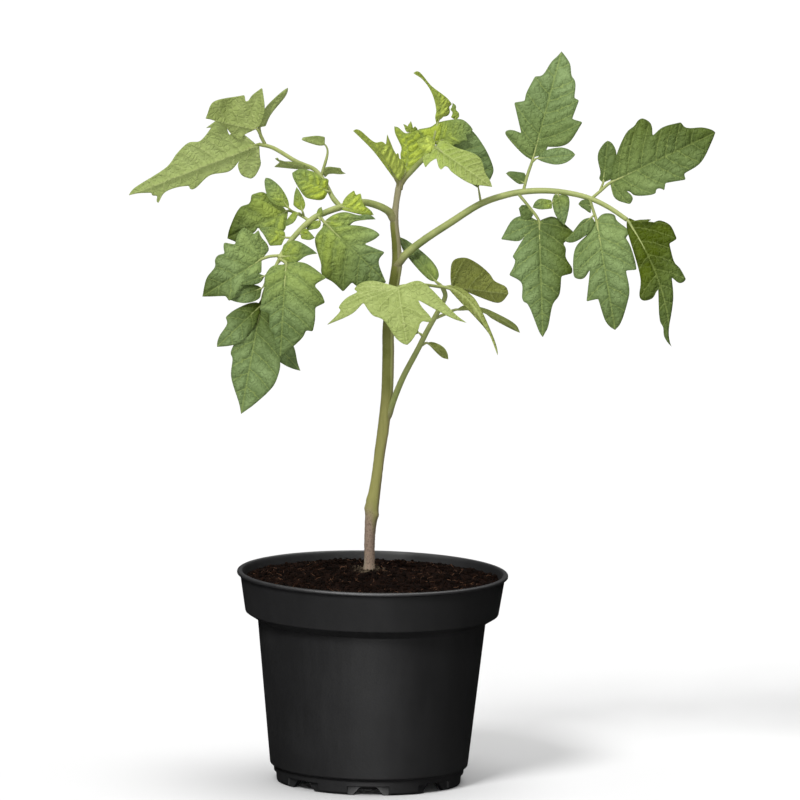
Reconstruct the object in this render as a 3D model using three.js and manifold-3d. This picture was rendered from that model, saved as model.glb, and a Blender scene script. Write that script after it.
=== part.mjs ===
// A young tomato plant in a round nursery pot. Millimetres, +Z up, the viewer stands at -Y.
// The origin is the middle of the pot's underside, on the surface it stands on.
import * as THREE from "three";
import { mergeVertices } from "three/addons/utils/BufferGeometryUtils.js";
import Module from "manifold-3d";

const wasm = await Module();
wasm.setup();

// Driving dimensions of the pot
const RIM_DIAMETER = 140;
const POT_HEIGHT = 109;
const WALL = 1.5;
const LIP_HEIGHT = 2;
const LIP_REACH = 1.6;
const BAND_HEIGHT = 21;
const BAND_TAPER = 3;
const STEP_DROP = 4;
const STEP_REACH = 7;
const BODY_TAPER = 8;
const FOOT_HEIGHT = 8.5;
const FOOT_INSET = 2.5;
const FOOT_WALL = 4.4;
const FLOOR_LIFT = 4.8;
const FLOOR_THICKNESS = 1.6;
const INNER_ROUNDING = 3;
const CENTRE_PAD_RADIUS = 29;
const POT_SIDES = 48;

// Recesses and drain openings round the foot of the pot
const POCKET_COUNT = 8;
const POCKET_WIDTH = 22;
const POCKET_HEIGHT = 5;
const POCKET_DEPTH = 2;
const OPENING_TOP = 8;
const OPENING_FOOT = 16;
const OPENING_HEIGHT = 4.6;
const DRAIN_RADIUS = 4;
const DRAIN_RING = 38;
const DRAIN_SIDES = 12;

// Soil
const SOIL_LEVEL = 105;
const SOIL_MOUND = 4;
const MOUND_SPREAD = 20;
const SOIL_SIDES = 32;
const SOIL_RINGS = 6;
const FIT_GAP = 0.3;

// The plant is drawn as it shows from the front, on a plane that leans back by this slope:
// a drawn point [x, h, y] stands at x across, y back and h - SLOPE * y up.
const SLOPE = 0.153;
const BLADE_THICKNESS = 0.7;
const MIDRIB_STATIONS = 6;
const BRANCH_STEPS = 12;
const CORNER_ANGLE = 55;
const LONG_STRETCH = 9;
const SMALL_LEAFLET = 24;
const TURNED_OVER = 1000;
const EDGE_REACH = 0.3;
const RIPPLE_TURN = 14;
const STALK_SIDES = 4;
const MAIN_STALK_SIDES = 7;
const STALK_RADIUS = 0.8;
const STALK_INTO_BLADE = 0.2;
const ROOT_END = 0.5;

// The main stem: drawn points from its buried foot to the fork at the top, and its radius at each
const STEM_SIDES = 10;
const STEM_STEPS = 26;
const STEM_POINTS = [
  [-1.5, 78, 12], [-1.8, 111, 12], [-1.9, 128, 12], [-1, 142, 12], [1, 158, 12], [2.5, 172, 12],
  [4.3, 187, 12], [5.6, 202, 12], [5.8, 222, 12], [5.6, 237, 12], [8, 259, 11], [9.4, 270, 10.5],
  [8.8, 280, 10], [7.6, 292, 10], [8.3, 301, 10], [9.3, 309, 10],
];
const STEM_RADII = [2.2, 2.7, 2.8, 3.3, 2.8, 2.8, 2.9, 3, 3, 3, 2.8, 2.7, 2.3, 2.2, 1.7, 1.6];

// Leaf drawings. A leaf has a main stalk, with its radius at each end, and leaflets. A leaflet has:
// stalk: drawn points [x, h, y] from the stalk that it grows on to the foot of its blade
// tip: the drawn tip [x, h]
// mid: the drawn middle of a midrib that isn't straight
// a, b: the drawn outline of its two sides from foot to tip
// lean: how far back it goes for each millimetre to the right, and for each millimetre up
// and, in millimetres of depth: arch at mid-length, curl of the tip, cup of the edges, fold at the
// midrib for each millimetre out, and ripple of the edges
const LEAF_RIGHT = {
  radii: [2.1, 1.2],
  stalk: [
    [8, 268, 10], [14, 275, 9], [23, 282.5, 8], [36, 291.5, 7], [52, 302, 5], [64, 306.5, 3], [73, 308.5, 1],
    [85, 309.3, -2], [97, 308.3, -5], [108.5, 305.5, -8], [118, 301, -11], [127, 295, -14],
  ],
  leaflets: [
    {
      name: "upper left", stalk: [[73.5, 308.5, 1], [75.5, 317, 2], [78, 325, 5]], tip: [92, 382.5],
      a: [[72, 331], [63.5, 340], [72, 339], [68, 355], [73.5, 356], [79, 369], [82, 370]],
      b: [[83.5, 332], [92, 332.5], [103.5, 345.5], [98, 347], [101.5, 357], [99, 358], [99.5, 365]],
      lean: [0.1, 0.42], arch: -3, curl: 5, fold: -0.12, ripple: 1.2,
    },
    {
      name: "upper left lobe", stalk: [[78, 324, 4.6], [80, 326, 4.5]], tip: [100, 328.5],
      a: [[88, 331], [95, 332]], b: [[89, 323], [95, 324]], lean: [-0.1, 0.5], arch: -1.5, radius: 0.5,
    },
    {
      name: "upper left small", stalk: [[74.5, 312, 1.5], [74.5, 313, 1]], tip: [64.5, 318.5],
      a: [[68, 314]], b: [[74.8, 317.5], [70.5, 319.5]], lean: [0.2, 0.4], radius: 0.5,
    },
    {
      name: "upper right", stalk: [[108.5, 305.5, -8], [113, 309.5, -8], [118, 314, -7]], tip: [172, 342],
      a: [
        [120.5, 324], [123, 333], [127, 342], [134, 348], [139, 344.5], [139.5, 339], [144, 343.5], [154.5, 346.5],
        [156.5, 343.5], [165, 344],
      ],
      b: [
        [121, 307], [124, 304.5], [129, 303.5], [129.5, 306.5], [127, 310], [134, 307.5], [141, 308.5], [142.5, 311.5],
        [146, 310.5], [146.5, 314.5], [157, 316], [156.5, 319.5], [165, 326],
      ],
      lean: [0.12, 0.4], arch: -4, curl: 6, fold: -0.1, ripple: 1.2,
    },
    {
      name: "upper right lobe", stalk: [[113, 310, -7], [114.5, 314, -6.4]], tip: [116.5, 336],
      a: [[112.5, 320], [111.5, 327], [113, 333]], b: [[118, 318], [121, 327], [120, 333]],
      lean: [0, 0.36], arch: 1, radius: 0.6,
    },
    {
      name: "lower left", stalk: [[71, 307.5, 1], [76.5, 301, -1], [82, 293.5, -3]], tip: [85, 233],
      a: [
        [73, 294.5], [67, 293.5], [62.5, 283.5], [71.5, 283], [75.5, 286], [71, 280], [68.5, 274.5],
        [70.5, 273], [67, 264.5], [73.5, 261], [73.5, 253.5], [76.5, 251],
      ],
      b: [
        [88, 296.5], [94, 295], [100, 288], [99.5, 283], [94.5, 282], [96, 274], [99.5, 266], [94, 265],
        [93.5, 257], [90.5, 252],
      ],
      lean: [0.05, 0.36], arch: -5, curl: -3, fold: -0.12, ripple: 1.3,
    },
    {
      name: "lower left lobe", stalk: [[77, 300.5, -1.2], [76, 300, -1.6]], tip: [71.5, 299.5],
      a: [[74, 302]], b: [[74.5, 296.5]], lean: [0.1, 0.4], radius: 0.5,
    },
    {
      name: "lower right", stalk: [[107.5, 306, -8], [109.5, 300, -10], [111.5, 294, -12]], tip: [122, 237.5],
      a: [[107, 288], [104, 280], [100, 266], [105, 264], [108.5, 268.5], [107, 252], [112.5, 253.5]],
      b: [
        [115.5, 298], [120, 297.5], [121.5, 294.5], [128.5, 288], [126, 285], [130.5, 279],
        [132.5, 269], [127, 268.5], [129, 260], [126.5, 247],
      ],
      lean: [0.05, 0.3], arch: -5, curl: -3, fold: -0.1, ripple: 1.3,
    },
    {
      name: "lower right bud lobe", stalk: [[109, 301, -9.6], [107, 301, -10.4]], tip: [102, 303],
      a: [[104.5, 305]], b: [[104.5, 299.5]], lean: [0.1, 0.4], radius: 0.5,
    },
    {
      name: "lower right narrow", stalk: [[110.5, 297.5, -11], [109, 296, -12.5]], tip: [95, 283.5],
      a: [[103, 292]], b: [[107, 289], [103.5, 284.5], [99, 282.5]], lean: [0.25, 0.5], radius: 0.5,
    },
    {
      name: "end", stalk: [[118, 301, -11], [127, 295, -14]], mid: [143.5, 264], tip: [151, 229.5],
      a: [
        [126.5, 291], [128, 284], [133, 268], [135.5, 253], [141, 254.5], [143.5, 261],
        [144, 252], [145.5, 241], [148.5, 233],
      ],
      b: [
        [132.5, 293.5], [139, 293.5], [144, 295], [149, 292.5], [153, 287], [149, 283.5], [151.5, 274.5], [158, 264.5],
        [155, 262.5], [150.5, 265], [151.5, 253], [150.7, 240],
      ],
      lean: [0.35, 0.5], arch: -7, curl: -4, fold: 0.15, ripple: 1.4,
    },
    {
      name: "hanging oval", stalk: [[91.5, 309, -4], [91.7, 307, -5]], tip: [95, 291.5],
      a: [[88.5, 306], [89, 300]], b: [[97, 307], [97.5, 299]], lean: [0.1, 0.3], radius: 0.5,
    },
    {
      name: "small bright", stalk: [[91, 309, -3.5], [88.5, 303, -6.5]], tip: [78.5, 300.5],
      a: [[83.5, 305]], b: [[83, 298.7]], lean: [0.1, 0.5], radius: 0.5,
    },
    {
      name: "inner small", stalk: [[52, 302, 5], [50.5, 310, 7]], tip: [48, 319],
      a: [[45.5, 313]], b: [[52, 314.5]], lean: [0, 0.3], radius: 0.6,
    },
  ],
};

const LEAF_LEFT = {
  radii: [2, 1.3],
  stalk: [
    [8, 291, 10], [5.5, 296, 9], [3, 298, 7], [-1.5, 300, 5], [-8.5, 301.4, 1], [-20, 298.6, -9], [-28.5, 295.3, -17],
    [-34.5, 292, -22], [-44.5, 281.5, -32], [-51, 271, -40],
  ],
  leaflets: [
    {
      name: "inner large", stalk: [[-31, 294, -19], [-28, 290, -22]], tip: [4, 260],
      a: [
        [-21, 288], [-12, 289], [-4.5, 287.5], [0.5, 284], [-3.5, 280.5], [-8, 279.5],
        [3.5, 275.5], [-0.5, 271], [2.5, 264],
      ],
      b: [
        [-30, 286.5], [-33, 282], [-32, 277.5], [-30.5, 269], [-28, 262.5], [-23, 260],
        [-18, 255], [-14, 259], [-8, 257], [-1, 257.5],
      ],
      lean: [0.05, 0.2], arch: -3, fold: -0.1, ripple: 1.3,
    },
    {
      name: "inner narrow", stalk: [[-30, 293, -18], [-28.5, 290.8, -19.5]], tip: [-2, 292.6],
      a: [[-23, 294.5], [-17.5, 296], [-9, 295.8]], b: [[-21, 288.5], [-14, 291], [-7, 292]],
      lean: [0.15, 0.4], arch: -2, radius: 0.6,
    },
    {
      name: "inner crinkled", stalk: [[-21, 298.5, -10], [-19.5, 298.6, -12]], tip: [-3, 294.8],
      a: [[-18, 302.5], [-13.5, 307.5], [-12.5, 305], [-10, 306], [-9, 302.5], [-6.5, 299]],
      b: [[-18.5, 296], [-12, 295.5], [-7, 294.3]], lean: [0.1, 0.45], arch: -1.5, radius: 0.6, ripple: 0.7,
    },
    {
      name: "front large", stalk: [[-51, 271, -40], [-47.5, 268.5, -43]], tip: [-49.5, 220],
      a: [
        [-43, 269.5], [-36.5, 268.5], [-30, 264.5], [-26.5, 261.5], [-32, 258], [-37, 258.5], [-32, 255.5], [-27, 249],
        [-32, 246.5], [-32, 239], [-32.5, 234], [-37, 234], [-38, 230],
      ],
      b: [[-54.5, 267.5], [-58, 262.5], [-57.5, 256.5], [-60.5, 243.5], [-55, 243.5], [-55, 233.5], [-53, 232.5]],
      lean: [0, 0.28], arch: -4, fold: -0.12, ripple: 1.3,
    },
    {
      name: "end", stalk: [[-51, 271, -40], [-56, 260, -41], [-59, 252, -41]], tip: [-69, 190],
      a: [[-64, 243], [-68, 235], [-72, 228.5], [-75, 221], [-75, 209.5], [-72, 200]],
      b: [[-54.5, 244], [-51.5, 226], [-49.5, 218], [-50, 210], [-55.5, 200.5]],
      lean: [-0.05, 0.2], arch: -3, curl: -2, fold: -0.1, ripple: 1.2,
    },
    {
      name: "end left lobe", stalk: [[-58, 255, -41], [-59.5, 247, -44]], tip: [-81.5, 225],
      a: [[-64, 248], [-74, 243.5], [-78, 240], [-77, 237.5], [-80, 232]], b: [[-63, 235], [-73, 226]],
      lean: [0.1, 0.2], arch: -2, radius: 0.6, ripple: 0.9,
    },
    {
      name: "end right lobe", stalk: [[-62, 234, -46.5], [-54, 229, -44.5]], tip: [-39, 213],
      a: [[-43, 226], [-41.5, 219]], b: [[-52, 219.5]], lean: [0.1, 0.2],
    },
    {
      name: "left", stalk: [[-51, 272.5, -39], [-56, 272, -38], [-60, 270.5, -38]], tip: [-90, 250.5],
      a: [
        [-57.5, 279], [-61.5, 285], [-69.5, 286.7], [-73, 282], [-74, 279.3], [-79.5, 278.6], [-79, 274.7],
        [-83.5, 271.3], [-88, 260],
      ],
      b: [[-60, 265], [-70, 260.5], [-73, 256.5], [-76, 249], [-78.5, 251.5], [-83, 250]],
      lean: [0.12, 0.35], arch: -3, curl: -2, fold: -0.12, ripple: 1.3,
    },
    {
      name: "left under one", stalk: [[-50, 270.5, -39], [-54, 266, -42.5], [-58, 262, -46]], tip: [-72, 256.5],
      a: [[-64, 263]], b: [[-61, 258]], lean: [0.05, 0.4], radius: 0.6,
    },
    {
      name: "left under two", stalk: [[-52, 268, -39.6], [-57, 260.5, -42], [-59.5, 255.5, -46]], tip: [-76.5, 249.3],
      a: [[-68, 256.8]], b: [[-64.5, 248], [-70.5, 247.5]], lean: [0.05, 0.35], radius: 0.6,
    },
    {
      name: "back left", stalk: [[-36, 291, -23], [-41, 294, -21], [-47, 296, -20]], tip: [-78, 281],
      a: [
        [-52, 298.5], [-59, 305], [-64, 305.3], [-67, 302.5], [-67.2, 299.7], [-71.5, 297.5],
        [-74, 292.5], [-77.5, 285],
      ],
      b: [[-49, 286.5], [-54.5, 289], [-60.5, 285], [-68, 282.5], [-73, 279]],
      lean: [0.05, 0.3], arch: -3, curl: -2, fold: -0.1, ripple: 1.2,
    },
    {
      name: "back left oval", stalk: [[-43, 294.5, -21], [-46.5, 297, -25]], tip: [-59.5, 312.5],
      a: [[-54, 298.5], [-59, 304]], b: [[-47, 302], [-52, 308]], lean: [0.05, 0.35], arch: -1, radius: 0.6,
    },
    {
      name: "upright small", stalk: [[-39, 293.5, -22], [-39.7, 296, -24]], tip: [-43, 309],
      a: [[-44.3, 301]], b: [[-38.7, 301]], lean: [0, 0.3], radius: 0.6,
    },
    {
      name: "bright lobe", stalk: [[-40, 293.8, -21.6], [-41.8, 295, -24]], tip: [-48, 288],
      a: [[-46.5, 294]], b: [[-42.5, 290.5]], lean: [0, 0.4], radius: 0.6,
    },
    {
      name: "bright back", stalk: [[-44, 282, -31.6], [-48, 282, -31]], tip: [-62, 286],
      a: [[-50.5, 286.5], [-55, 287.3]], b: [[-52, 277.5], [-56.5, 277.8]], lean: [0, 0.3], radius: 0.6,
    },
    {
      name: "stalk bud", stalk: [[-30.5, 294, -19], [-30.3, 295, -21]], tip: [-30.8, 300.5],
      a: [[-32.5, 297]], b: [[-28.7, 297]], lean: [0, 0.3], radius: 0.6,
    },
    {
      name: "front small one", stalk: [[-32, 293.5, -20.5], [-30.5, 291.5, -23]], tip: [-37, 286],
      a: [[-34.8, 291]], b: [[-31, 288]], lean: [0, 0.4], radius: 0.6,
    },
    {
      name: "front small two", stalk: [[-40.5, 285.5, -28], [-40.5, 284, -30]], tip: [-33, 282.3],
      a: [[-37.5, 287.2]], b: [[-39, 280.8]], lean: [0, 0.4], radius: 0.6,
    },
    {
      name: "middle", stalk: [[-49, 274.5, -37], [-50, 272, -40]], tip: [-31.5, 274],
      a: [[-48, 278.5], [-43, 280.5], [-37, 277]], b: [[-48, 268], [-43, 268.8], [-39, 271.5]],
      lean: [0.05, 0.4], arch: -1.5, radius: 0.8,
    },
    {
      name: "branch foot bright", stalk: [[-26, 306.5, -4.6], [-26.5, 306.5, -8]], tip: [-45.5, 316],
      a: [[-27.5, 313], [-31, 315.8], [-38, 317.3]], b: [[-29, 302.5], [-36.5, 302.5], [-43, 310.5]],
      lean: [0.05, 0.35], arch: -2, radius: 0.7, ripple: 0.7,
    },
    {
      name: "branch edge left", stalk: [[-34, 318.3, 11], [-35.5, 318.5, 12]], tip: [-54.5, 323],
      a: [[-44, 322]], b: [[-44, 318], [-51, 320]], lean: [-0.1, -1.2], radius: 0.6,
    },
    {
      name: "branch edge right", stalk: [[-31, 315, 5.2], [-30, 316, 5]], tip: [-17, 316.3],
      a: [[-26, 319.2], [-21, 318.2]], b: [[-26, 315]], lean: [0.1, -1.2], radius: 0.6,
    },
    {
      name: "branch triangle", stalk: [[-30.5, 314.5, 4], [-27.5, 328, 5], [-29, 331, 5]], tip: [-41.5, 333.7],
      a: [[-29.5, 335], [-35, 335.2]], b: [[-34.5, 331]], lean: [0.1, -0.7], radius: 0.8,
    },
    {
      name: "branch narrow", stalk: [[-60, 331, 41.5], [-62.5, 336, 41], [-63, 340, 41]], tip: [-49, 361],
      a: [[-61, 349], [-55, 357]], b: [[-56, 347], [-50, 355.5]], lean: [1.3, -0.4], radius: 0.9,
    },
    {
      name: "branch upper", stalk: [[-60, 331, 41.5], [-62.5, 336, 40], [-64.5, 339, 39]], tip: [-92, 343],
      a: [[-66, 335.5], [-72, 336], [-80, 336], [-88, 338.5]],
      b: [[-60.5, 351.5], [-62, 360.5], [-70.5, 354], [-71, 356.7], [-79.5, 355], [-89, 351]],
      lean: [-0.2, -0.45], arch: 3, fold: 0.1, ripple: 1.2,
    },
    {
      name: "branch end", stalk: [[-57, 329.7, 38], [-63, 331, 43]], tip: [-130.5, 304],
      a: [
        [-69, 332], [-78, 335.5], [-81.5, 342], [-86, 343.5], [-90.5, 336.5], [-99.5, 331], [-107, 324], [-110, 319],
        [-116, 316], [-123, 309.5],
      ],
      b: [
        [-62, 321], [-67, 313], [-72, 315], [-73, 322], [-78, 317], [-88, 315], [-97, 307.5],
        [-101, 309], [-113, 305], [-115.5, 299.5], [-117.5, 304],
      ],
      lean: [-0.3, -0.45], arch: 4, curl: 3, fold: 0.1, ripple: 1.3,
    },
  ],
  branches: [
    {
      radii: [1.2, 1],
      stalk: [
        [-20, 298.6, -9], [-24, 303, -7], [-27, 308.5, -4], [-30, 313.5, 2], [-34, 318, 10],
        [-43.5, 322.2, 24], [-56.5, 329.5, 38], [-63, 331, 43],
      ],
    },
  ],
};

const LEAF_LOWER = {
  radii: [1.7, 1.2],
  stalk: [
    [5, 180, 12], [8, 190, 10], [10, 200.5, 7], [14, 211.5, 2], [21, 225.5, -4], [25.5, 235, -8], [31.5, 246.5, -13],
    [34.5, 253.5, -17], [33, 258, -20],
  ],
  leaflets: [
    {
      name: "end", stalk: [[33, 258, -20], [21.5, 259, -30], [10, 257.5, -37]], tip: [15.5, 227.5],
      a: [
        [-2.5, 260.5], [-8.5, 259.5], [-12.5, 255.5], [-11, 254], [-15.5, 252], [-20, 246], [-19, 245],
        [-26, 237], [-15.5, 241.6], [-6.5, 246.2], [-3, 242.5], [2.5, 240.5], [9, 232.5],
      ],
      b: [
        [16, 259.5], [20.5, 261], [25.5, 259.5], [32, 254], [38, 246.5], [46, 239.5], [39, 242], [28, 247],
        [20.5, 251], [28, 240], [22, 239],
      ],
      lean: [0, 0.35], arch: -2, curl: -2, cup: -2, fold: 0.08,
    },
    {
      name: "ear", stalk: [[33, 257.5, -19.6], [37, 258.5, -20]], tip: [67, 255.5],
      a: [[37.5, 271], [41.5, 273.5], [46.5, 273.5], [53.5, 268.5], [61, 260.5], [66, 258.5]],
      b: [[45.5, 255.5], [51.5, 254], [59, 251.5], [63.5, 250.8]], lean: [0.3, -0.5], arch: 2, cup: 2,
    },
    {
      name: "folded", stalk: [[32, 258.5, -20.4], [36, 257.5, -23]], mid: [50.5, 246], tip: [61.5, 223],
      a: [[42, 255], [48, 251], [53.5, 244.5], [57.2, 236]], b: [[37, 255.5], [42.5, 250], [49.5, 243], [55.3, 235]],
      lean: [-0.1, 0.6], arch: -4, fold: 0.8,
    },
    {
      name: "behind", stalk: [[33, 257.5, -19.6], [32, 259, -10], [29.5, 261, -3]], tip: [10.5, 283.5],
      a: [[30.5, 265.5], [27.5, 270.5], [20, 277.5]], b: [[24, 264.5], [16.5, 274], [10.5, 280.5]],
      lean: [-0.5, 0.75], arch: 1, radius: 0.9,
    },
    {
      name: "narrow", stalk: [[29, 241.5, -10.6], [34.5, 244, -10], [40, 246.5, -9]],
      mid: [57.5, 245], tip: [73.5, 235.5],
      a: [[52.5, 247.6], [60.5, 246], [67.5, 241.5]], b: [[51.5, 245], [59, 243], [66.5, 238]],
      lean: [0.2, -1.2], arch: 1, radius: 0.8,
    },
    {
      name: "small", stalk: [[21.5, 226.5, -4.4], [25.5, 229, -4]], tip: [36.7, 220.5],
      a: [[30.5, 229.2], [35, 226]], b: [[30.5, 224], [34, 221.2]], lean: [0.2, 0.5], radius: 0.7,
    },
    {
      name: "stalk bud", stalk: [[24, 232, -7], [21.5, 234, -8.5]], tip: [18.5, 236],
      a: [[20.5, 236.5]], b: [[19.5, 233]], lean: [0, 0.3], radius: 0.8,
    },
  ],
};

const SHOOT_TIP = {
  radii: [1.5, 1.1],
  stalk: [[9.3, 309.4, 10], [12, 314, 9.5], [15.7, 318, 8], [21, 323.7, 4], [26, 328.5, 1], [28, 331, 0]],
  leaflets: [
    {
      name: "left young", stalk: [[10.5, 311.5, 9.8], [6, 314, 9], [2.5, 319, 8]], mid: [-4, 331], tip: [-14.5, 338.5],
      a: [[-2, 325], [-7, 331]],
      b: [[9, 325], [7, 328], [3, 337], [2, 331], [-2, 332], [-7, 334.5], [-10.5, 337]],
      lean: [0.3, -0.7], fold: 0.1, radius: 1,
    },
    {
      name: "right young", stalk: [[12, 314, 9.5], [14, 318.5, 8]], mid: [13.5, 331], tip: [6.5, 341.5],
      a: [[9.8, 324.5], [10.5, 331]], b: [[20, 323.5], [25, 331], [24, 341], [18.5, 340], [13, 338]],
      lean: [-0.3, 0.3], fold: -0.1, ripple: 0.6, radius: 0.9,
    },
    {
      name: "upper young", stalk: [[26, 328.5, 1], [27, 335, 2], [28.5, 342, 3]], mid: [28.5, 357], tip: [16.5, 369.5],
      a: [[28, 352], [26, 359], [21.3, 365.5]],
      b: [[33, 344], [38.5, 345.5], [39, 349], [36, 354], [32, 357.5], [27.5, 361], [20, 367.6]],
      lean: [1, 0.2], arch: -1, ripple: 0.6,
    },
    {
      name: "front young", stalk: [[26, 328.5, 1], [28, 330.5, -1]], tip: [57, 310.5],
      a: [
        [23.3, 329], [21.3, 325], [23, 320.2], [27.5, 325], [31, 319], [33.5, 320.8], [38, 316.3],
        [45, 312.3], [53.5, 310.7],
      ],
      b: [[30, 334], [39, 331], [50.5, 326.3], [54, 318.8], [56.2, 313.2]],
      lean: [-0.1, 0.3], arch: -3, curl: -3, fold: -0.1, ripple: 1,
    },
    {
      name: "top young", stalk: [[26, 328.5, 1], [27, 333, 2]], tip: [47, 341],
      a: [[22.5, 334], [20.5, 339.5], [28, 343], [35, 344.3], [42.5, 345.8]], b: [[36, 331], [44, 334]],
      lean: [0.05, 0.35], arch: -1, ripple: 0.9,
    },
    {
      name: "back young", stalk: [[27, 330, 0.6], [31, 332, 7]], tip: [56.5, 314.5],
      a: [[38, 341], [47.5, 338], [53, 332], [56, 324.5], [57.7, 320]], b: [[37, 326], [46, 319]],
      lean: [0.1, 0.25], arch: -2, ripple: 0.8,
    },
    {
      name: "bud", stalk: [[12, 314, 9.5], [13, 324, 13], [14, 336, 14]], tip: [15, 345],
      a: [[11.5, 341], [11.3, 343], [13.5, 341.5]], b: [[17, 337], [18.5, 341.5], [16.5, 342]],
      lean: [0.2, 0.2], fold: 0.4, radius: 1.3,
    },
  ],
};

function place([x, h, y]) {
  return new THREE.Vector3(x, y, h - SLOPE * y);
}

// A three.js geometry as a manifold solid
function toSolid(geometry) {
  const bare = geometry.clone();
  bare.deleteAttribute("normal");
  bare.deleteAttribute("uv");
  const merged = mergeVertices(bare, 1e-4);
  const vertProperties = new Float32Array(merged.attributes.position.array);
  const triVerts = new Uint32Array(merged.index.array);
  return new wasm.Manifold(new wasm.Mesh({ numProp: 3, vertProperties, triVerts }));
}

function toGeometry(solid) {
  const mesh = solid.getMesh();
  const geometry = new THREE.BufferGeometry();
  geometry.setAttribute("position", new THREE.BufferAttribute(new Float32Array(mesh.vertProperties), 3));
  geometry.setIndex(new THREE.BufferAttribute(new Uint32Array(mesh.triVerts), 1));
  geometry.computeVertexNormals();
  return geometry;
}

// The largest body of a solid, without loose scraps
function mainBody(solid) {
  const bodies = solid.decompose();
  return bodies.reduce((best, body) => (body.volume() > best.volume() ? body : best));
}

function solidFromMesh(points, faces) {
  const geometry = new THREE.BufferGeometry();
  geometry.setAttribute("position", new THREE.Float32BufferAttribute(points.flatMap((p) => p.toArray()), 3));
  geometry.setIndex(faces.flat());
  return toSolid(geometry);
}

// A round stalk along a smooth curve, with its radius eased through the given radii, ends closed
function taperedTube(points, radii, sides, steps) {
  const curve = new THREE.CatmullRomCurve3(points, false, "centripetal");
  const frames = curve.computeFrenetFrames(steps, false);
  const vertices = [];
  const faces = [];
  for (let i = 0; i <= steps; i += 1) {
    const centre = curve.getPointAt(i / steps);
    const place01 = (i / steps) * (radii.length - 1);
    const low = Math.min(Math.floor(place01), radii.length - 2);
    const radius = THREE.MathUtils.lerp(radii[low], radii[low + 1], place01 - low);
    for (let j = 0; j < sides; j += 1) {
      const angle = (2 * Math.PI * j) / sides;
      const out = frames.normals[i].clone().multiplyScalar(Math.cos(angle) * radius);
      out.addScaledVector(frames.binormals[i], Math.sin(angle) * radius);
      vertices.push(centre.clone().add(out));
    }
  }
  for (let i = 0; i < steps; i += 1) {
    for (let j = 0; j < sides; j += 1) {
      const a = i * sides + j;
      const b = i * sides + ((j + 1) % sides);
      faces.push([a, b, b + sides], [a, b + sides, a + sides]);
    }
  }
  const start = vertices.push(curve.getPointAt(0)) - 1;
  const end = vertices.push(curve.getPointAt(1)) - 1;
  for (let j = 0; j < sides; j += 1) {
    const next = (j + 1) % sides;
    faces.push([start, next, j], [end, steps * sides + j, steps * sides + next]);
  }
  return solidFromMesh(vertices, faces);
}

// The drawn outline of one side: smooth between corners, with the corners kept sharp
function outlineSide(foot, drawn, tip) {
  const points = [foot.toArray(), ...drawn, tip].map(([x, h]) => new THREE.Vector2(x, h));
  const corners = [0];
  for (let i = 1; i < points.length - 1; i += 1) {
    const before = points[i].clone().sub(points[i - 1]).angle();
    const after = points[i + 1].clone().sub(points[i]).angle();
    const turn = Math.abs(((after - before + 3 * Math.PI) % (2 * Math.PI)) - Math.PI);
    if (turn > THREE.MathUtils.degToRad(CORNER_ANGLE)) {
      corners.push(i);
    }
  }
  corners.push(points.length - 1);
  const outline = [points[0]];
  for (let c = 1; c < corners.length; c += 1) {
    const stretch = points.slice(corners[c - 1], corners[c] + 1);
    const flat = stretch.map((p) => new THREE.Vector3(p.x, p.y, 0));
    const curve = new THREE.CatmullRomCurve3(flat, false, "centripetal");
    for (let i = 1; i < stretch.length; i += 1) {
      const cuts = stretch[i].distanceTo(stretch[i - 1]) > LONG_STRETCH ? 2 : 1;
      for (let k = 1; k <= cuts; k += 1) {
        const p = curve.getPoint((i - 1 + k / cuts) / (stretch.length - 1));
        outline.push(new THREE.Vector2(p.x, p.y));
      }
    }
  }
  return outline;
}

// The drawn midrib of a leaflet and the depth of any drawn point of its blade
function bladeSurface(leaflet) {
  const [footX, footH, footY] = leaflet.stalk[leaflet.stalk.length - 1];
  const foot = new THREE.Vector2(footX, footH);
  const tip = new THREE.Vector2(...leaflet.tip);
  const along = tip.clone().sub(foot).normalize();
  const length = foot.distanceTo(tip);
  const straight = foot.clone().lerp(tip, 0.5);
  const mid = leaflet.mid ? new THREE.Vector2(...leaflet.mid) : straight;
  const midrib = new THREE.QuadraticBezierCurve(foot, mid.clone().multiplyScalar(2).sub(straight), tip);
  const bend = mid.clone().sub(foot).cross(along);
  const [leanX, leanH] = leaflet.lean;
  const { arch = 0, curl = 0, cup = 0, fold = 0, ripple = 0 } = leaflet;
  const lift = (p) => {
    const out = p.clone().sub(foot);
    const s = out.dot(along) / length;
    const aside = out.cross(along) - 4 * bend * s * (1 - s);
    const edge = Math.min(1, Math.abs(aside) / (EDGE_REACH * length));
    const wave = ripple * edge * edge * Math.sin(RIPPLE_TURN * s + (aside > 0 ? 0 : 2));
    const bow = arch * 4 * s * (1 - s) + curl * s * s + cup * edge * edge + fold * Math.abs(aside);
    return place([p.x, p.y, footY + leanX * out.x + leanH * out.y + bow + wave]);
  };
  return { foot, midrib, length, lift };
}

const drawnArea = ([p, q, r]) => q.clone().sub(p).cross(r.clone().sub(p));

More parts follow.
